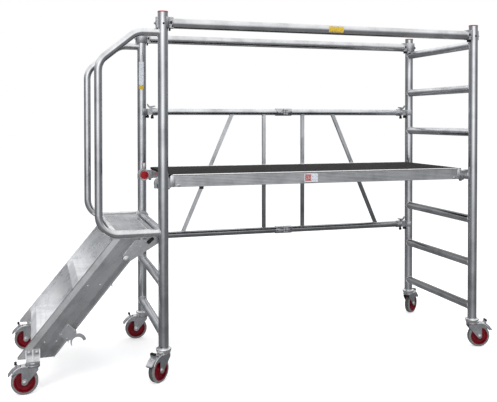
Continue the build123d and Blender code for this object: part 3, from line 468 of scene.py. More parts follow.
class Piece:
    """Gathers shapes, placed by one matrix, into a single mesh object."""

    def __init__(self, place=Matrix.Identity(4)):
        self.verts, self.faces, self.place = [], [], place

    def add(self, verts, faces):
        start = len(self.verts)
        self.verts += [self.place @ Vector(point) for point in verts]
        self.faces += [tuple(i + start for i in face) for face in faces]

    def lathe(self, origin, axis, profile, sides, closed=False):
        """Turn a profile of (radius, height along the axis); radius 0 closes an end."""
        x, y, z = axis_frame(axis)
        origin = Vector(origin)
        rings, verts = [], []
        for radius, height in profile:
            if radius == 0:
                rings.append([len(verts)])
                verts.append(origin + z * height)
                continue
            rings.append(list(range(len(verts), len(verts) + sides)))
            for k in range(sides):
                angle = 2 * pi * k / sides
                verts.append(origin + z * height + (x * cos(angle) + y * sin(angle)) * radius)
        pairs = list(zip(rings, rings[1:]))
        if closed:
            pairs.append((rings[-1], rings[0]))
        faces = []
        for this, other in pairs:
            for k in range(sides):
                j = (k + 1) % sides
                if len(this) == 1:
                    faces.append((this[0], other[k], other[j]))
                elif len(other) == 1:
                    faces.append((this[k], other[0], this[j]))
                else:
                    faces.append((this[k], other[k], other[j], this[j]))
        self.add(verts, faces)

    def rivet(self, at, axis, radius, height, sunk=0.0004):
        self.lathe(at, axis, [
            (0, height), (radius * 0.45, height * 0.93), (radius * 0.8, height * 0.62),
            (radius, height * 0.12), (radius, -sunk), (0, -sunk),
        ], 18)

    def bolt(self, at, axis, radius, height, washer):
        """A hexagon head with a chamfered top, on a washer of the given thickness."""
        self.lathe(at, axis, [
            (0, washer), (radius * 1.55, washer), (radius * 1.7, washer * 0.6),
            (radius * 1.7, -0.0003), (0, -0.0003),
        ], 24)
        x, y, z = axis_frame(axis)
        hexagon = [x * cos(pi * k / 3) + y * sin(pi * k / 3) for k in range(6)]
        # (share of the radius, height)
        levels = [(1.0, washer - 0.0002), (1.0, height + washer - 0.0008), (0.88, height + washer)]
        verts = [Vector(at) + z * rise + spoke * radius * share
                 for share, rise in levels for spoke in hexagon]
        faces = [tuple(range(5, -1, -1)), tuple(range(12, 18))]
        for start in (0, 6):
            for k in range(6):
                j = (k + 1) % 6
                faces.append((start + k, start + j, start + 6 + j, start + 6 + k))
        self.add(verts, faces)

    def bead(self, points, outward, radius, ripple=0.16):
        """A weld bead along a closed run of points, swelling in steps of four."""
        count, sides, pitch = len(points), 8, 4
        verts, faces = [], []
        for i, point in enumerate(points):
            run = (points[(i + 1) % count] - points[i - 1]).normalized()
            out = outward[i] - run * outward[i].dot(run)
            out.normalize()
            across = run.cross(out)
            swollen = radius * (1 + ripple * ((i % pitch) / pitch - 0.5))
            for k in range(sides):
                angle = 2 * pi * k / sides
                verts.append(point + (out * cos(angle) + across * sin(angle)) * swollen)
        for i in range(count):
            this, other = i * sides, (i + 1) % count * sides
            for k in range(sides):
                j = (k + 1) % sides
                faces.append((this + k, other + k, other + j, this + j))
        self.add(verts, faces)

    def tube(self, points, radius, sides):
        """A round bar along an open run of points, closed at its ends."""
        verts, faces = [], []
        last = len(points) - 1
        x = (points[1] - points[0]).normalized().orthogonal().normalized()
        for i, point in enumerate(points):
            run = (points[min(i + 1, last)] - points[max(i - 1, 0)]).normalized()
            x = (x - run * x.dot(run)).normalized()
            y = run.cross(x)
            for k in range(sides):
                angle = 2 * pi * k / sides
                verts.append(point + (x * cos(angle) + y * sin(angle)) * radius)
        for i in range(last):
            this, other = i * sides, (i + 1) * sides
            for k in range(sides):
                j = (k + 1) % sides
                faces.append((this + k, this + j, other + j, other + k))
        faces.append(tuple(range(sides - 1, -1, -1)))
        faces.append(tuple(last * sides + k for k in range(sides)))
        self.add(verts, faces)

    def prism(self, outline, origin, x_axis, y_axis, depth, bevel, segments=2):
        """An outline in the plane of two axes, thickened along their cross product."""
        x, y = Vector(x_axis).normalized(), Vector(y_axis).normalized()
        z = x.cross(y)
        bm = bmesh.new()
        base = [bm.verts.new(Vector(origin) + x * u + y * v) for u, v in outline]
        top = [bm.verts.new(vert.co + z * depth) for vert in base]
        bm.faces.new(list(reversed(base)))
        bm.faces.new(top)
        for i in range(len(base)):
            j = (i + 1) % len(base)
            bm.faces.new((base[i], base[j], top[j], top[i]))
        if bevel:
            bmesh.ops.bevel(bm, geom=list(bm.edges), offset=bevel, segments=segments,
                            affect="EDGES", profile=0.5, clamp_overlap=True)
        bm.verts.index_update()
        self.add([vert.co.copy() for vert in bm.verts],
                 [tuple(vert.index for vert in face.verts) for face in bm.faces])
        bm.free()

    def block(self, centre, size, bevel, x_axis=(1, 0, 0), y_axis=(0, 1, 0), segments=2):
        x, y = Vector(x_axis).normalized(), Vector(y_axis).normalized()
        u, v, w = (length / 2 for length in size)
        origin = Vector(centre) - x.cross(y) * w
        self.prism([(-u, -v), (u, -v), (u, v), (-u, v)], origin, x, y, 2 * w, bevel, segments)

    def sticker(self, origin, axis, facing, half_angle, start, stop):
        """A label wrapped on a stile-sized tube, from start to stop along its axis."""
        steps, lift, thickness = 20, 0.00005, 0.0003
        z = Vector(axis).normalized()
        x = Vector(facing).normalized()
        y = z.cross(x)
        verts, faces = [], []
        for radius in (STILE_RADIUS + lift, STILE_RADIUS + thickness):
            for height in (start, stop):
                for k in range(steps + 1):
                    angle = radians(-half_angle + 2 * half_angle * k / steps)
                    around = (x * cos(angle) + y * sin(angle)) * radius
                    verts.append(Vector(origin) + z * height + around)
        # four rows of vertices: inner start, inner stop, outer start, outer stop
        row = steps + 1
        for k in range(steps):
            faces.append((k, row + k, row + k + 1, k + 1))
            faces.append((2 * row + k, 2 * row + k + 1, 3 * row + k + 1, 3 * row + k))
            faces.append((k, k + 1, 2 * row + k + 1, 2 * row + k))
            faces.append((row + k, 3 * row + k, 3 * row + k + 1, row + k + 1))
        faces.append((0, 2 * row, 3 * row, row))
        faces.append((steps, row + steps, 3 * row + steps, 2 * row + steps))
        self.add(verts, faces)

    def make(self, name, material, body, slot, angle=34):
        """Build the object; edges sharper than angle, in degrees, stay hard."""
        mesh = bpy.data.meshes.new(name)
        mesh.from_pydata([tuple(point) for point in self.verts], [], self.faces)
        bm = bmesh.new()
        bm.from_mesh(mesh)
        bmesh.ops.recalc_face_normals(bm, faces=bm.faces)
        for face in bm.faces:
            face.smooth = True
        for edge in bm.edges:
            inside = len(edge.link_faces) == 2
            edge.smooth = not (inside and edge.calc_face_angle() > radians(angle))
        bm.to_mesh(mesh)
        bm.free()
        made = add_object(name, mesh)
        mesh.materials.append(MATERIALS[material].data)
        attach(made, body)


# ------------------------------------------------------------------ end frames
BEAD_LIFT = 0.0006            # weld beads run this far off both tubes


def stile_weld(piece, centre, tube_radius, direction, steps, bead):
    """A bead where a tube running along direction leaves a stile."""
    run = Vector(direction)
    side = Vector((-run.y, run.x, 0))
    points, outward = [], []
    for k in range(steps):
        angle = 2 * pi * k / steps
        across = (tube_radius + BEAD_LIFT) * cos(angle)
        up = (tube_radius + BEAD_LIFT) * sin(angle)
        depth = sqrt((STILE_RADIUS + BEAD_LIFT) ** 2 - across ** 2)
        points.append(Vector(centre) + run * depth + side * across + Vector((0, 0, up)))
        outward.append(side * cos(angle) + Vector((0, 0, sin(angle))) + run * 0.6)
    piece.bead(points, outward, bead)


def rung_weld(piece, x, y, z, in_y):
    stile_weld(piece, (x, y, z), RUNG_RADIUS, (0, in_y, 0), steps=152, bead=0.0028)


def frame_welds():
    for tag, x, levels in (("left", X_LEFT, RUNG_Z[:LEFT_RUNGS]), ("right", X_RIGHT, RUNG_Z)):
        welds = Piece()
        for z in levels:
            for _, y, in_y in SIDES:
                rung_weld(welds, x, y, z, in_y)
        welds.make(f"rung_welds_{tag}", "weld", "end_frames", "aluminium_rung", 50)
    welds = Piece()
    for _, y, in_y in SIDES:
        rung_weld(welds, X_LEFT, y, STUB_Z, in_y)
        for z in HANDRAIL_Z:
            stile_weld(welds, (X_LEFT, y, z), RAIL_RADIUS, (-1, 0, 0), steps=128, bead=0.0026)
    welds.make("handrail_and_stub_welds", "weld", "end_frames", "aluminium_rung", 50)


def stile_hole_shades():
    """Black discs in the stiles' outer faces at guardrail height: painted shade standing in for the holes there.
    """
    pins = Piece()
    for x, _ in ENDS:
        for _, y, in_y in SIDES:
            at = (x, y - in_y * (STILE_RADIUS + 0.0002), GUARD_Z - 0.004)
            pins.rivet(at, (0, -in_y, 0), radius=0.0056, height=0.0012, sunk=0.0016)
    pins.make("stile_hole_shades", "black", "end_frames", "black_plastic")


# (radius, z) round the section of a cup
FOOT_CUP = [
    (0.0322, 0.1412), (0.0338, 0.1418), (0.0356, 0.1460), (0.0380, 0.1535),
    (0.0388, 0.1570), (0.0385, 0.1600), (0.0368, 0.1618), (0.0330, 0.1622),
    (0.0262, 0.1628), (0.0256, 0.1620), (0.0256, 0.1580), (0.0322, 0.1565),
]


def foot_cups():
    """Pressed cups round the stile feet."""
    cups = Piece()
    for x, _ in ENDS:
        for _, y, _ in SIDES:
            cups.lathe((x, y, 0), (0, 0, 1), FOOT_CUP, 48, closed=True)
    cups.make("foot_cups", "edge", "end_frames", "zinc_steel", 40)


# (radius, distance inward) round the section of a rim
STUB_RIM = [(0.0308, 0.0004), (0.0322, 0.0012), (0.0326, 0.0035), (0.0322, 0.0058),
            (0.0308, 0.0066)]


def stub_rims():
    """A rolled rim and three rivets on the flange of each platform stub."""
    rims = Piece()
    rivet_circle = 0.0283
    for _, y, in_y in SIDES:
        base = Vector((X_LEFT, y + in_y * 0.090, STUB_Z))
        rims.lathe(base, (0, in_y, 0), STUB_RIM, 48, closed=True)
        for k in range(3):
            angle = radians(90 + 120 * k)
            around = Vector((rivet_circle * cos(angle), in_y * 0.007, rivet_circle * sin(angle)))
            rims.rivet(base + around, (0, in_y, 0), radius=0.0017, height=0.0008)
    rims.make("stub_rims", "rivet", "end_frames", "zinc_steel", 40)


def stub_catches():
    """An upright catch with a cap above each stub."""
    catches = Piece()
    for _, y, in_y in reversed(SIDES):
        catches.block((X_LEFT, y + in_y * 0.094, STUB_Z + 0.049), (0.013, 0.005, 0.036), 0.0012)
        catches.block((X_LEFT, y + in_y * 0.0915, STUB_Z + 0.0665), (0.017, 0.010, 0.005), 0.0012)
    catches.make("stub_catches", "zinc", "end_frames", "zinc_steel")


def stile_labels():
    """A strip and a small square below it on the far left stile, facing the near side."""
    for name, material, bottom, top in (
        ("stile_label_strip", "label_white", 1.508, 1.645),
        ("stile_label_square", "label_yellow", 1.482, 1.506),
    ):
        piece = Piece()
        piece.sticker((X_LEFT, Y_FAR, 0), (0, 0, 1), (-0.25, -1, 0), 34, bottom, top)
        piece.make(name, material, "end_frames", "black_plastic", 20)


# (radius, height off the face)
KNOB_BOSS = [(0, 0.0012), (0.0105, 0.0011), (0.0130, 0.0006), (0.0140, -0.0004),
             (0.0140, -0.0014), (0, -0.0014)]


def knob_bosses():
    """A raised boss and ten grip ribs on the face of each lock knob."""
    rib_circle = 0.0185
    for tag, _, in_y in SIDES:
        low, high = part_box(f"{tag}_lock_knob")
        face = high.y if in_y > 0 else low.y
        boss = Piece()
        boss.lathe((X_LEFT, face - in_y * 0.0002, STUB_Z), (0, in_y, 0), KNOB_BOSS, 30)
        for k in range(10):
            angle = 2 * pi * (k + 0.5) / 10
            centre = (X_LEFT + rib_circle * cos(angle), face - in_y * 0.0009,
                      STUB_Z + rib_circle * sin(angle))
            boss.block(centre, (0.0060, 0.0016, 0.0016), 0.0004, (cos(angle), 0, sin(angle)))
        boss.make(f"{tag}_knob_boss", "knob", f"{tag}_knob", "knob_red")


# ------------------------------------------------------------------ guardrails
# (radius, distance inward) round the rim where the end plate meets the tube
GUARD_RIM = [(0.0256, -0.0004), (0.0268, -0.0002), (0.0270, 0.0012), (0.0264, 0.0024),
             (0.0256, 0.0026)]
# distance in from the stile, height from the tube's axis
NECK_PINS = ((0.030, -0.010), (0.0405, 0.012))
LATCH_OFFSET = 0.0205         # latch parts stand this far to each side of the tube's axis


def guardrail(tag, y, in_y):
    rivets, latches = Piece(), Piece()
    for x, in_x in ENDS:
        for inset, rise in NECK_PINS:
            for face in (1, -1):
                at = (x + in_x * inset, y + face * 0.0200, GUARD_Z + rise)
                rivets.rivet(at, (0, face, 0), radius=0.0040, height=0.0018)
        # a bolt on the outer end of each jaw
        rivets.bolt((x - in_x * 0.0350, y + in_y * 0.0095, GUARD_Z), (-in_x, 0, 0),
                    radius=0.0060, height=0.0060, washer=0.0014)
        rivets.lathe((x + in_x * 0.0500, y, GUARD_Z), (in_x, 0, 0), GUARD_RIM, 48, closed=True)
        # a slider on both faces of the neck and a finger tab on the outer one
        for face in (-in_y, in_y):
            latches.block((x + in_x * 0.0375, y + face * LATCH_OFFSET, GUARD_Z + 0.0015),
                          (0.0110, 0.0040, 0.0130), 0.0012)
        latches.block((x + in_x * 0.0455, y - in_y * LATCH_OFFSET, GUARD_Z - 0.0150),
                      (0.0075, 0.0050, 0.0120), 0.0012)
    body = f"{tag}_guardrail"
    rivets.make(f"{tag}_guardrail_rivets", "rivet", body, "zinc_steel")
    latches.make(f"{tag}_guardrail_latches", "black", body, "black_plastic")


def guardrail_label():
    piece = Piece()
    piece.sticker((0, Y_NEAR, GUARD_Z), (1, 0, 0), (0, -1, 0.05), 38,
                  X_LEFT + 0.881, X_LEFT + 0.965)
    piece.make("guardrail_label", "label_yellow", "near_guardrail", "black_plastic", 20)


# ------------------------------------------------------------------ back brace
# (radius, distance down)
PLUNGER = [(0, -0.002), (0.0070, -0.002), (0.0070, 0.004), (0.0088, 0.006), (0.0092, 0.015),
           (0.0076, 0.0185), (0, 0.0195)]
PLUNGERS = ((0.034, 0.0175), (0.062, 0.0220))  # distance in from the stile, depth of the top
WEB_ENDS = ((0.129, 0.129), (0.650, 0.330))    # distance out from the middle, low and high end


def web_weld(piece, origin, run):
    """A bead round a square web that leaves a rail's axis at origin along run."""
    half, steps = 0.0105, 26
    reach = RAIL_RADIUS + 0.0004
    x = Vector((0, 1, 0))
    y = run.cross(x).normalized()
    square = [(-half, -half), (half, -half), (half, half), (-half, half)]
    points, outward = [], []
    for (u0, v0), (u1, v1) in zip(square, square[1:] + square[:1]):
        for k in range(steps):
            part = k / steps
            across = x * (u0 + (u1 - u0) * part) + y * (v0 + (v1 - v0) * part)
            base = origin + across
            # slide along the web until it meets the round rail
            target = sqrt(reach * reach - (base.y - Y_FAR) ** 2)
            slide = (target - (base.z - origin.z) * (1 if run.z > 0 else -1)) / abs(run.z)
            points.append(base + run * slide)
            outward.append(across.normalized() + run * 0.3)
    piece.bead(points, outward, 0.0022, ripple=0.14)


def brace(half, out_x, stile_x):
    """One half of the brace; out_x points from the middle to its stile."""
    rivets, plungers, welds = Piece(), Piece(), Piece()
    for z in BRACE_Z:
        for face in (-1, 1):
            for inset in (0.068, 0.084):
                rivets.rivet((stile_x - out_x * inset, Y_FAR + face * 0.0225, z), (0, face, 0),
                             radius=0.0036, height=0.0016)
        # spring plungers under the claw
        for inset, drop in PLUNGERS:
            at = (stile_x - out_x * inset, Y_FAR, z - drop)
            plungers.lathe(at, (0, 0, -1), PLUNGER, 24)
        # dowel ends in the centre sleeves
        for face in (-1, 1):
            y = Y_FAR + face * 0.0229
            plungers.rivet((X_MID + out_x * 0.045, y, z), (0, face, 0),
                           radius=0.0040, height=0.0010)
            rivets.rivet((X_MID + out_x * 0.026, y, z), (0, face, 0),
                         radius=0.0030, height=0.0012)
    for low_x, high_x in WEB_ENDS:
        low = Vector((X_MID + out_x * low_x, Y_FAR, BRACE_Z[0]))
        high = Vector((X_MID + out_x * high_x, Y_FAR, BRACE_Z[1]))
        run = (high - low).normalized()
        web_weld(welds, low, run)
        web_weld(welds, high, -run)
    body = f"brace_{half}"
    rivets.make(f"{body}_rivets", "rivet", body, "zinc_steel")
    plungers.make(f"{body}_plungers", "black", body, "black_plastic")
    welds.make(f"{body}_welds", "weld", body, "brace_tube", 50)


# ------------------------------------------------------------------ platform
RAILS_LOW, RAILS_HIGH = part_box("deck_rails")
DECK_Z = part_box("deck_board")[1].z
RAIL_SIDES = ((RAILS_LOW.y, 1), (RAILS_HIGH.y, -1))
RAIL_ENDS = ((RAILS_LOW.x, 1, X_LEFT), (RAILS_HIGH.x, -1, X_RIGHT))
# (distance in from the rail's end, z) round the cheek
CHEEK = [(-0.013, 0.962), (0.010, 0.961), (0.014, 0.966), (0.014, 1.008), (0.008, 1.018),
         (-0.004, 1.0215), (-0.013, 1.016)]


def deck_ends():
    """Board rivets, and at each rail's end a bolt, a cast cheek and a wind latch."""
    fixings, cheeks, latches = Piece(), Piece(), Piece()
    rivets, margin = 8, 0.06
    for y, in_y in RAIL_SIDES:
        for k in range(rivets):
            span = RAILS_HIGH.x - RAILS_LOW.x - 2 * margin
            x = RAILS_LOW.x + margin + span * k / (rivets - 1)
            fixings.rivet((x, y + in_y * 0.017, DECK_Z), (0, 0, 1), radius=0.0052, height=0.0011)
        for end, in_x, stile_x in RAIL_ENDS:
            fixings.bolt((end + in_x * 0.032, y, 0.9685), (0, -in_y, 0),
                         radius=0.0048, height=0.0028, washer=0.001)
            outline = [(in_x * u, z) for u, z in (CHEEK if in_x > 0 else reversed(CHEEK))]
            origin = (end, y + (0.0004 if in_y > 0 else 0.0026), 0)
            cheeks.prism(outline, origin, (1, 0, 0), (0, 0, 1), depth=0.0030, bevel=0.0011)
            latches.block((stile_x + in_x * 0.0370, y + in_y * 0.0175, STUB_Z - 0.0275),
                          (0.014, 0.010, 0.009), 0.0018)
    fixings.make("deck_fixings", "rivet", "platform", "zinc_steel")
    cheeks.make("deck_end_cheeks", "mount", "platform", "cast_aluminium")
    latches.make("deck_wind_latches", "black", "platform", "black_plastic")


def rail_beads():
    """A rolled bead along the top of each side rail, where the board is let in."""
    beads = Piece()
    steps, inset = 14, 0.001
    span = RAILS_HIGH.x - RAILS_LOW.x - 2 * inset
    for y, in_y in RAIL_SIDES:
        beads.tube([
            Vector((RAILS_LOW.x + inset + span * k / steps, y + in_y * 0.0014,
                    RAILS_HIGH.z - 0.0026))
            for k in range(steps + 1)
        ], 0.0038, 14)
    # painted highlight: the bead is in the near-white highlight metal
    beads.make("rail_beads", "edge", "platform", "extruded_aluminium", 50)


# on the near rail; name, material, x from the left stile, y from the rail, z, size, bevel
RAIL_BLOCKS = (
    ("rail_label", "label_white", 0.808, -0.0002, 0.9905, (0.078, 0.0006, 0.046), 0),
    ("rail_label_panel", "label_red", 0.7905, -0.0005, 0.9905, (0.034, 0.0005, 0.036), 0),
    ("rail_plug", "black", 0.208, 0.012, 0.9530, (0.020, 0.018, 0.014), 0.002),
)


def rail_blocks():
    """The label, the panel printed on it and a plug under the board."""
    for name, material, x, y, z, size, bevel in RAIL_BLOCKS:
        piece = Piece()
        piece.block((X_LEFT + x, RAILS_LOW.y + y, z), size, bevel)
        piece.make(name, material, "platform", "black_plastic", 20)


# ------------------------------------------------------------------ stair
def landing_nosing():
    """A raised nosing with pressed grip bars, and a thin strip near the other edge."""
    low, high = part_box("stair_landing")
    mounts = frame["record"]["mounts"]
    top = next(mount for mount in mounts if mount["name"] == "landing_top")["pos_m"][2]
    middle, width = (low.y + high.y) / 2, high.y - low.y
    nose_x = low.x + 0.0122
    bars, margin = 15, 0.03
    nosing = Piece()
    nosing.block((nose_x, middle, top + 0.0014), (0.0230, width - 0.009, 0.0016), 0.0007)
    nosing.block((high.x - 0.0300, middle, top + 0.0006), (0.0050, width - 0.012, 0.0018), 0.0007)
    for k in range(bars):
        y = low.y + margin + (width - 2 * margin) * k / (bars - 1)
        nosing.block((nose_x, y, top + 0.0022), (0.0160, 0.0060, 0.0012), 0.0005)
    nosing.make("landing_nosing", "edge", "stair", "sheet_aluminium")


# x here is measured from the left stiles, y inward from the stile plane
STRINGER_Y, HOOK_Y, CLAW_Y, BRACKET_Y = 0.030, 0.022, 0.021, 0.026
TREADS = ((-0.405, -0.246, 0.503), (-0.605, -0.456, 0.245))       # nose x, back x, top z
HOOK_RIVETS = ((-0.128, 0.690), (-0.156, 0.655), (-0.112, 0.672))  # x, z
CLAW_RIVETS = ((-0.4600, 0.3065), (-0.4300, 0.2810), (-0.4650, 0.2425), (-0.4910, 0.2650))
HOOK_BOLT = (-0.1805, 0.613)                                      # x, z
BRACKET_BOLTS_X, BRACKET_BOLTS_Z = (-0.640, -0.604), 0.190
# painted highlights, as x, z: thin bright strips along the edges of the hook's backing plate and of the storage
# claw's pad
HOOK_EDGE = ((-0.1365, 0.7045), (-0.166, 0.6680), (-0.1952, 0.6310))
CLAW_EDGE = ((-0.4600, 0.3133), (-0.4410, 0.2972), (-0.4218, 0.2809))
# profiles of (radius, height off the plate)
HOOK_DISC = [(0, 0.0030), (0.0145, 0.0030), (0.0160, 0.0022), (0.0164, 0.0),
             (0.0164, -0.001), (0, -0.001)]
HOOK_COLLAR = [(0, 0.0105), (0.0072, 0.0105), (0.0090, 0.0090), (0.0100, 0.0030),
               (0.0100, 0.0020), (0, 0.0020)]
BRACKET_COLLAR = [(0, 0.0105), (0.0060, 0.0105), (0.0076, 0.009), (0.0082, 0.0),
                  (0.0082, -0.001), (0, -0.001)]
COLLAR_SEAT = 0.0100          # height of the bolt heads off the plate


def stair_fittings():
    fixings, bracket, rubbers, edges = Piece(), Piece(), Piece(), Piece()
    for _, y, in_y in SIDES:
        out = (0, -in_y, 0)

        def place(x, inset, z):
            return Vector((X_LEFT + x, y + in_y * inset, z))

        for nose, back, top in TREADS:
            for part in (0.25, 0.62):
                at = place(nose + (back - nose) * part, STRINGER_Y, top - 0.012)
                fixings.rivet(at, out, radius=0.0046, height=0.0018)
        for x, z in HOOK_RIVETS:
            fixings.rivet(place(x, HOOK_Y, z), out, radius=0.0042, height=0.0018)
        x, z = HOOK_BOLT
        fixings.lathe(place(x, HOOK_Y, z), out, HOOK_DISC, 34)
        fixings.lathe(place(x, HOOK_Y, z), out, HOOK_COLLAR, 30)
        fixings.bolt(place(x, HOOK_Y - COLLAR_SEAT, z), out,
                     radius=0.0054, height=0.003, washer=0.0008)
        # painted highlights along the plate edges
        edges.tube([place(x, 0.0219, z) for x, z in HOOK_EDGE], 0.0013, 10)
        edges.tube([place(x, 0.0212, z) for x, z in CLAW_EDGE], 0.0012, 10)
        # rubber end piece that rests on the rung
        low, high = place(-0.073, 0.0245, 0.6870), place(-0.047, 0.0245, 0.7100)
        run = high - low
        rubbers.block((low + high) / 2, (run.length + 0.004, 0.012, 0.016), 0.004, run,
                      segments=3)
        for x, z in CLAW_RIVETS:
            bracket.rivet(place(x, CLAW_Y, z), out, radius=0.0040, height=0.0017)
        for x in BRACKET_BOLTS_X:
            bracket.lathe(place(x, BRACKET_Y, BRACKET_BOLTS_Z), out, BRACKET_COLLAR, 24)
            bracket.bolt(place(x, BRACKET_Y - COLLAR_SEAT, BRACKET_BOLTS_Z), out,
                         radius=0.0046, height=0.0026, washer=0.0006)
    fixings.make("stair_fixings", "rivet", "stair", "zinc_steel")
    edges.make("stair_plate_edges", "edge", "stair", "cast_aluminium", 50)
    bracket.make("stair_rivets", "rivet", "stair", "zinc_steel")
    rubbers.make("stair_rubbers", "rubber", "stair", "black_plastic", 40)


# ------------------------------------------------------------------ castors
# In a castor's own frame x runs from the swivel's axis towards the brake pedal.
# profiles of (radius, height along the axis)
AXLE_CAP = [(0, 0.0032), (0.005, 0.0030), (0.0085, 0.0018), (0.0095, 0.0), (0.0095, -0.002),
            (0, -0.002)]
AXLE_WASHER = [(0.0085, 0.0018), (0.0130, 0.0018), (0.0138, 0.0010), (0.0138, -0.0004),
               (0.0085, -0.0004)]
RACE_SEAL = [(0.0300, 0.1398), (0.0318, 0.1401), (0.0318, 0.1404), (0.0300, 0.1405)]
WEB_RING = [(0.0270, 0.0), (0.0270, 0.0012), (0.0280, 0.0020), (0.0300, 0.0020),
            (0.0310, 0.0012), (0.0310, 0.0)]
# (x, z) along the top of the mudguard and along the rolled edge of each arch
MUDGUARD = [(0.0360, 0.1384), (0.0500, 0.1375), (0.0545, 0.1364)]
ARCH_EDGE = [(0.0240, 0.1352), (0.0360, 0.1381), (0.0500, 0.1372), (0.0620, 0.1336),
             (0.0740, 0.1268), (0.0850, 0.1173), (0.0940, 0.1058), (0.0983, 0.0985)]
MUDGUARD_HALF = 0.0232
TOE_SLOPE, HEEL_SLOPE = (0.97, 0, -0.20), (0.75, 0, -0.66)


def castor_fork(foot, place, trail, axle_z):
    """Arch edges, then axle caps and mudguard plate, then the ball race's seal."""
    edges = Piece(place)
    for face in (-1, 1):
        edges.tube([Vector((x, face * 0.0233, z - 0.0006)) for x, z in ARCH_EDGE], 0.0019, 10)
    edges.make(f"{foot}_fork_edges", "edge", f"{foot}_castor", "zinc_steel", 50)

    plate = Piece(place)
    for face in (-1, 1):
        axis = (0, face, 0)
        plate.lathe((trail, face * 0.0275, axle_z), axis, AXLE_CAP, 30)
        plate.lathe((trail, face * 0.0228, axle_z), axis, AXLE_WASHER, 36, closed=True)
    underside = [(x - 0.0004, z - 0.0016) for x, z in reversed(MUDGUARD)]
    plate.prism(MUDGUARD + underside, (0, MUDGUARD_HALF, 0), (1, 0, 0), (0, 0, 1),
                depth=2 * MUDGUARD_HALF, bevel=0)
    plate.make(f"{foot}_mudguard", "zinc", f"{foot}_castor", "zinc_steel", 40)

    seal = Piece(place)
    seal.lathe((0, 0, 0), (0, 0, 1), RACE_SEAL, 40, closed=True)
    seal.make(f"{foot}_race_seal", "black", f"{foot}_castor", "black_plastic", 40)


def wheel_ribs(foot, place, trail, axle_z):
    """A ring and six ribs on each face of the wheel's dished web."""
    ribs = Piece(place)
    for face in (-1, 1):
        ribs.lathe((trail, face * 0.0070, axle_z), (0, face, 0), WEB_RING, 56, closed=True)
        for k in range(6):
            angle = 2 * pi * k / 6
            spoke = Vector((cos(angle), 0, sin(angle)))
            ribs.block(Vector((trail, face * 0.0080, axle_z)) + spoke * 0.0220,
                       (0.0090, 0.0030, 0.0032), 0.0008, spoke)
    ribs.make(f"{foot}_wheel_ribs", "wheel", f"{foot}_wheel", "wheel_red", 40)


def toe_cap(foot, place):
    """A pad with three ribs on the brake pedal, and a second pad lower down."""
    cap = Piece(place)
    cap.block((0.0788, 0, 0.1505), (0.0115, 0.0330, 0.0095), 0.0024, TOE_SLOPE, segments=3)
    for k in range(3):
        cap.block((0.0752 + 0.0036 * k, 0, 0.1560 - 0.0008 * k), (0.0014, 0.0270, 0.0012),
                  0.0004, TOE_SLOPE)
    cap.block((0.1088, 0, 0.0962), (0.0085, 0.0330, 0.0050), 0.0014, HEEL_SLOPE, segments=3)
    cap.make(f"{foot}_toe_cap", "rubber", f"{foot}_brake", "black_plastic", 40)


def castor(foot):
    swivel, axle, pedal = (Vector(JOINTS[f"{foot}_{joint}"]["pos_m"])
                           for joint in ("swivel", "wheel_spin", "brake"))
    heading = atan2(pedal.y - swivel.y, pedal.x - swivel.x)
    place = Matrix.Translation((swivel.x, swivel.y, 0)) @ Matrix.Rotation(heading, 4, "Z")
    trail = (axle.xy - swivel.xy).length
    castor_fork(foot, place, trail, axle.z)
    wheel_ribs(foot, place, trail, axle.z)
    toe_cap(foot, place)


# ------------------------------------------------------------------ build
frame_welds()
stile_hole_shades()
foot_cups()
stub_rims()
stub_catches()
stile_labels()
knob_bosses()
for tag, y, in_y in SIDES:
    guardrail(tag, y, in_y)
guardrail_label()
brace("right", 1, X_RIGHT)
brace("left", -1, X_LEFT)
deck_ends()
rail_beads()
rail_blocks()
landing_nosing()
stair_fittings()
for foot in FEET:
    castor(foot)

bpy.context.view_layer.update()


# ------------------------------------------------------------------ studio
def studio_floor():
    mesh = bpy.data.meshes.new("floor")
    mesh.from_pydata([(-30, -30, 0), (30, -30, 0), (30, 30, 0), (-30, 30, 0)], [], [(0, 1, 2, 3)])
    floor = add_object("floor", mesh)
    m = Material("studio_floor")
    m.set("Base Color", m.ramp(m.noise(scale=0.6), [(0.3, 0.90), (0.7, 0.94)]))
    m.set("Roughness", 0.9)
    m.set("Specular IOR Level", 0.0)
    m.set("Emission Color", (1, 1, 1))
    m.set("Emission Strength", 0.42)
    mesh.materials.append(m.data)
    floor.visible_glossy = False


TO_CAMERA = (-0.3074, -0.9516, 0.0)      # level, from the tower
CAMERA_RIGHT = (0.9516, -0.3074, 0.0)
# what reflections see: (degrees above the horizon, colour or level)
ROOM = [  # dim at floor level, a softbox overhead
    (-90, (0.20, 0.20, 0.20)), (-35, (0.20, 0.20, 0.205)), (-14, (0.175, 0.18, 0.19)),
    (-3, (0.16, 0.17, 0.185)), (5, (0.22, 0.23, 0.25)), (15, (0.46, 0.47, 0.49)),
    (28, 1.05), (90, 1.2),
]
FRONT_HEIGHT = [(-30, 0.04), (-14, 0.15), (-8, 0.34), (-2, 1.05), (10, 1.2), (24, 0.3), (40, 0.0)]
BACK_HEIGHT = [(-10, 0.0), (0, 0.2), (8, 0.5), (26, 0.8), (50, 0.0)]
# lit walls behind the camera and behind the tower: (degrees away from the camera, level)
FRONT_WIDTH = [(0, 1.0), (14, 0.93), (26, 0.62), (40, 0.26), (58, 0.04), (75, 0.0), (116, 0.0),
               (180, 0.0)]
BACK_WIDTH = [(116, 0.0), (134, 0.24), (180, 0.28)]


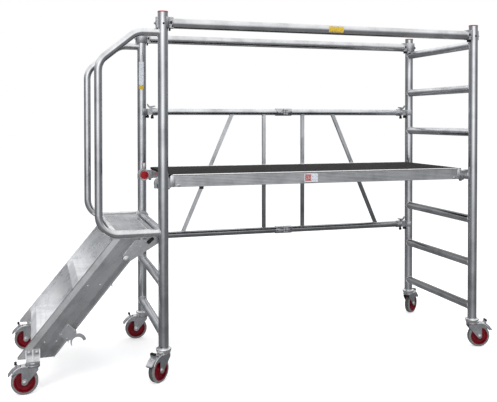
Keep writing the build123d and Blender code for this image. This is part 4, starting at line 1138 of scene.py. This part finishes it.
def studio_world():
    """White to the camera, a lit room to reflections, soft ambient light to the rest."""
    world = bpy.data.worlds.new("studio")
    bpy.context.scene.world = world
    world.use_nodes = True
    sky = Nodes(world.node_tree)
    output = sky.add("OutputWorld")
    view = sky.add("TexCoord").outputs["Generated"]
    path = sky.add("LightPath").outputs
    back, right, up = (sky.dot(view, axis) for axis in (TO_CAMERA, CAMERA_RIGHT, (0, 0, 1)))
    around = sky.math("ABSOLUTE", sky.math("ARCTAN2", right, back))
    rise = sky.math("ADD", sky.math("ARCSINE", up), pi / 2)
    elevation = sky.math("DIVIDE", rise, pi)

    def by_height(stops):
        return sky.ramp(elevation, [((angle + 90) / 180, colour) for angle, colour in stops])

    def by_width(stops):
        turn = sky.math("DIVIDE", around, pi)
        return sky.ramp(turn, [(angle / 180, level) for angle, level in stops])

    def background(colour, strength):
        node = sky.add("Background", {"Color": colour, "Strength": strength})
        return node.outputs["Background"]

    def choose(switch, otherwise, chosen):
        inputs = {"Fac": path[switch], 1: otherwise, 2: chosen}
        return sky.add("MixShader", inputs).outputs["Shader"]

    gloss = sky.plus(by_height(ROOM), sky.multiply(by_width(FRONT_WIDTH), by_height(FRONT_HEIGHT)))
    gloss = sky.plus(gloss, sky.multiply(by_width(BACK_WIDTH), by_height(BACK_HEIGHT)))
    ambient = background((0.97, 0.98, 1.0), strength=0.72)
    shader = choose("Is Glossy Ray", ambient, background(gloss, strength=1.0))
    shader = choose("Is Camera Ray", shader, background((1.0, 1.0, 1.0), strength=1.0))
    sky.feed(output.inputs["Surface"], shader)


def area(name, at, aim, size, power):
    light = bpy.data.lights.new(name, "AREA")
    light.shape = "RECTANGLE"
    light.size, light.size_y = size
    light.energy = power
    lamp = add_object(name, light)
    lamp.location = at
    lamp.rotation_euler = (Vector(aim) - Vector(at)).to_track_quat("-Z", "Y").to_euler()
    lamp.visible_glossy = False
    lamp.visible_camera = False


def camera():
    data = bpy.data.cameras.new("camera")
    eye = add_object("camera", data)
    eye.location = (X_LEFT - 0.6127, Y_NEAR - 3.6168, 1.302)
    eye.rotation_euler = (radians(89.015), 0, radians(-17.9))
    data.lens = 52.85
    data.sensor_width = 36
    data.shift_x = -0.0419
    data.shift_y = -0.1382
    data.clip_start = 0.05
    bpy.context.scene.camera = eye


studio_floor()
studio_world()
area("key_left_front", at=(-3.4, -4.2, 3.6), aim=(0, 0, 0.8), size=(2.6, 2.6), power=120)
area("overhead", at=(0.4, -0.2, 4.6), aim=(0.2, 0, 0.5), size=(4.2, 3.0), power=80)
area("fill_right", at=(4.2, -2.6, 2.2), aim=(0, 0, 0.8), size=(2.4, 2.8), power=50)
camera()
bpy.context.scene.view_settings.view_transform = "Standard"
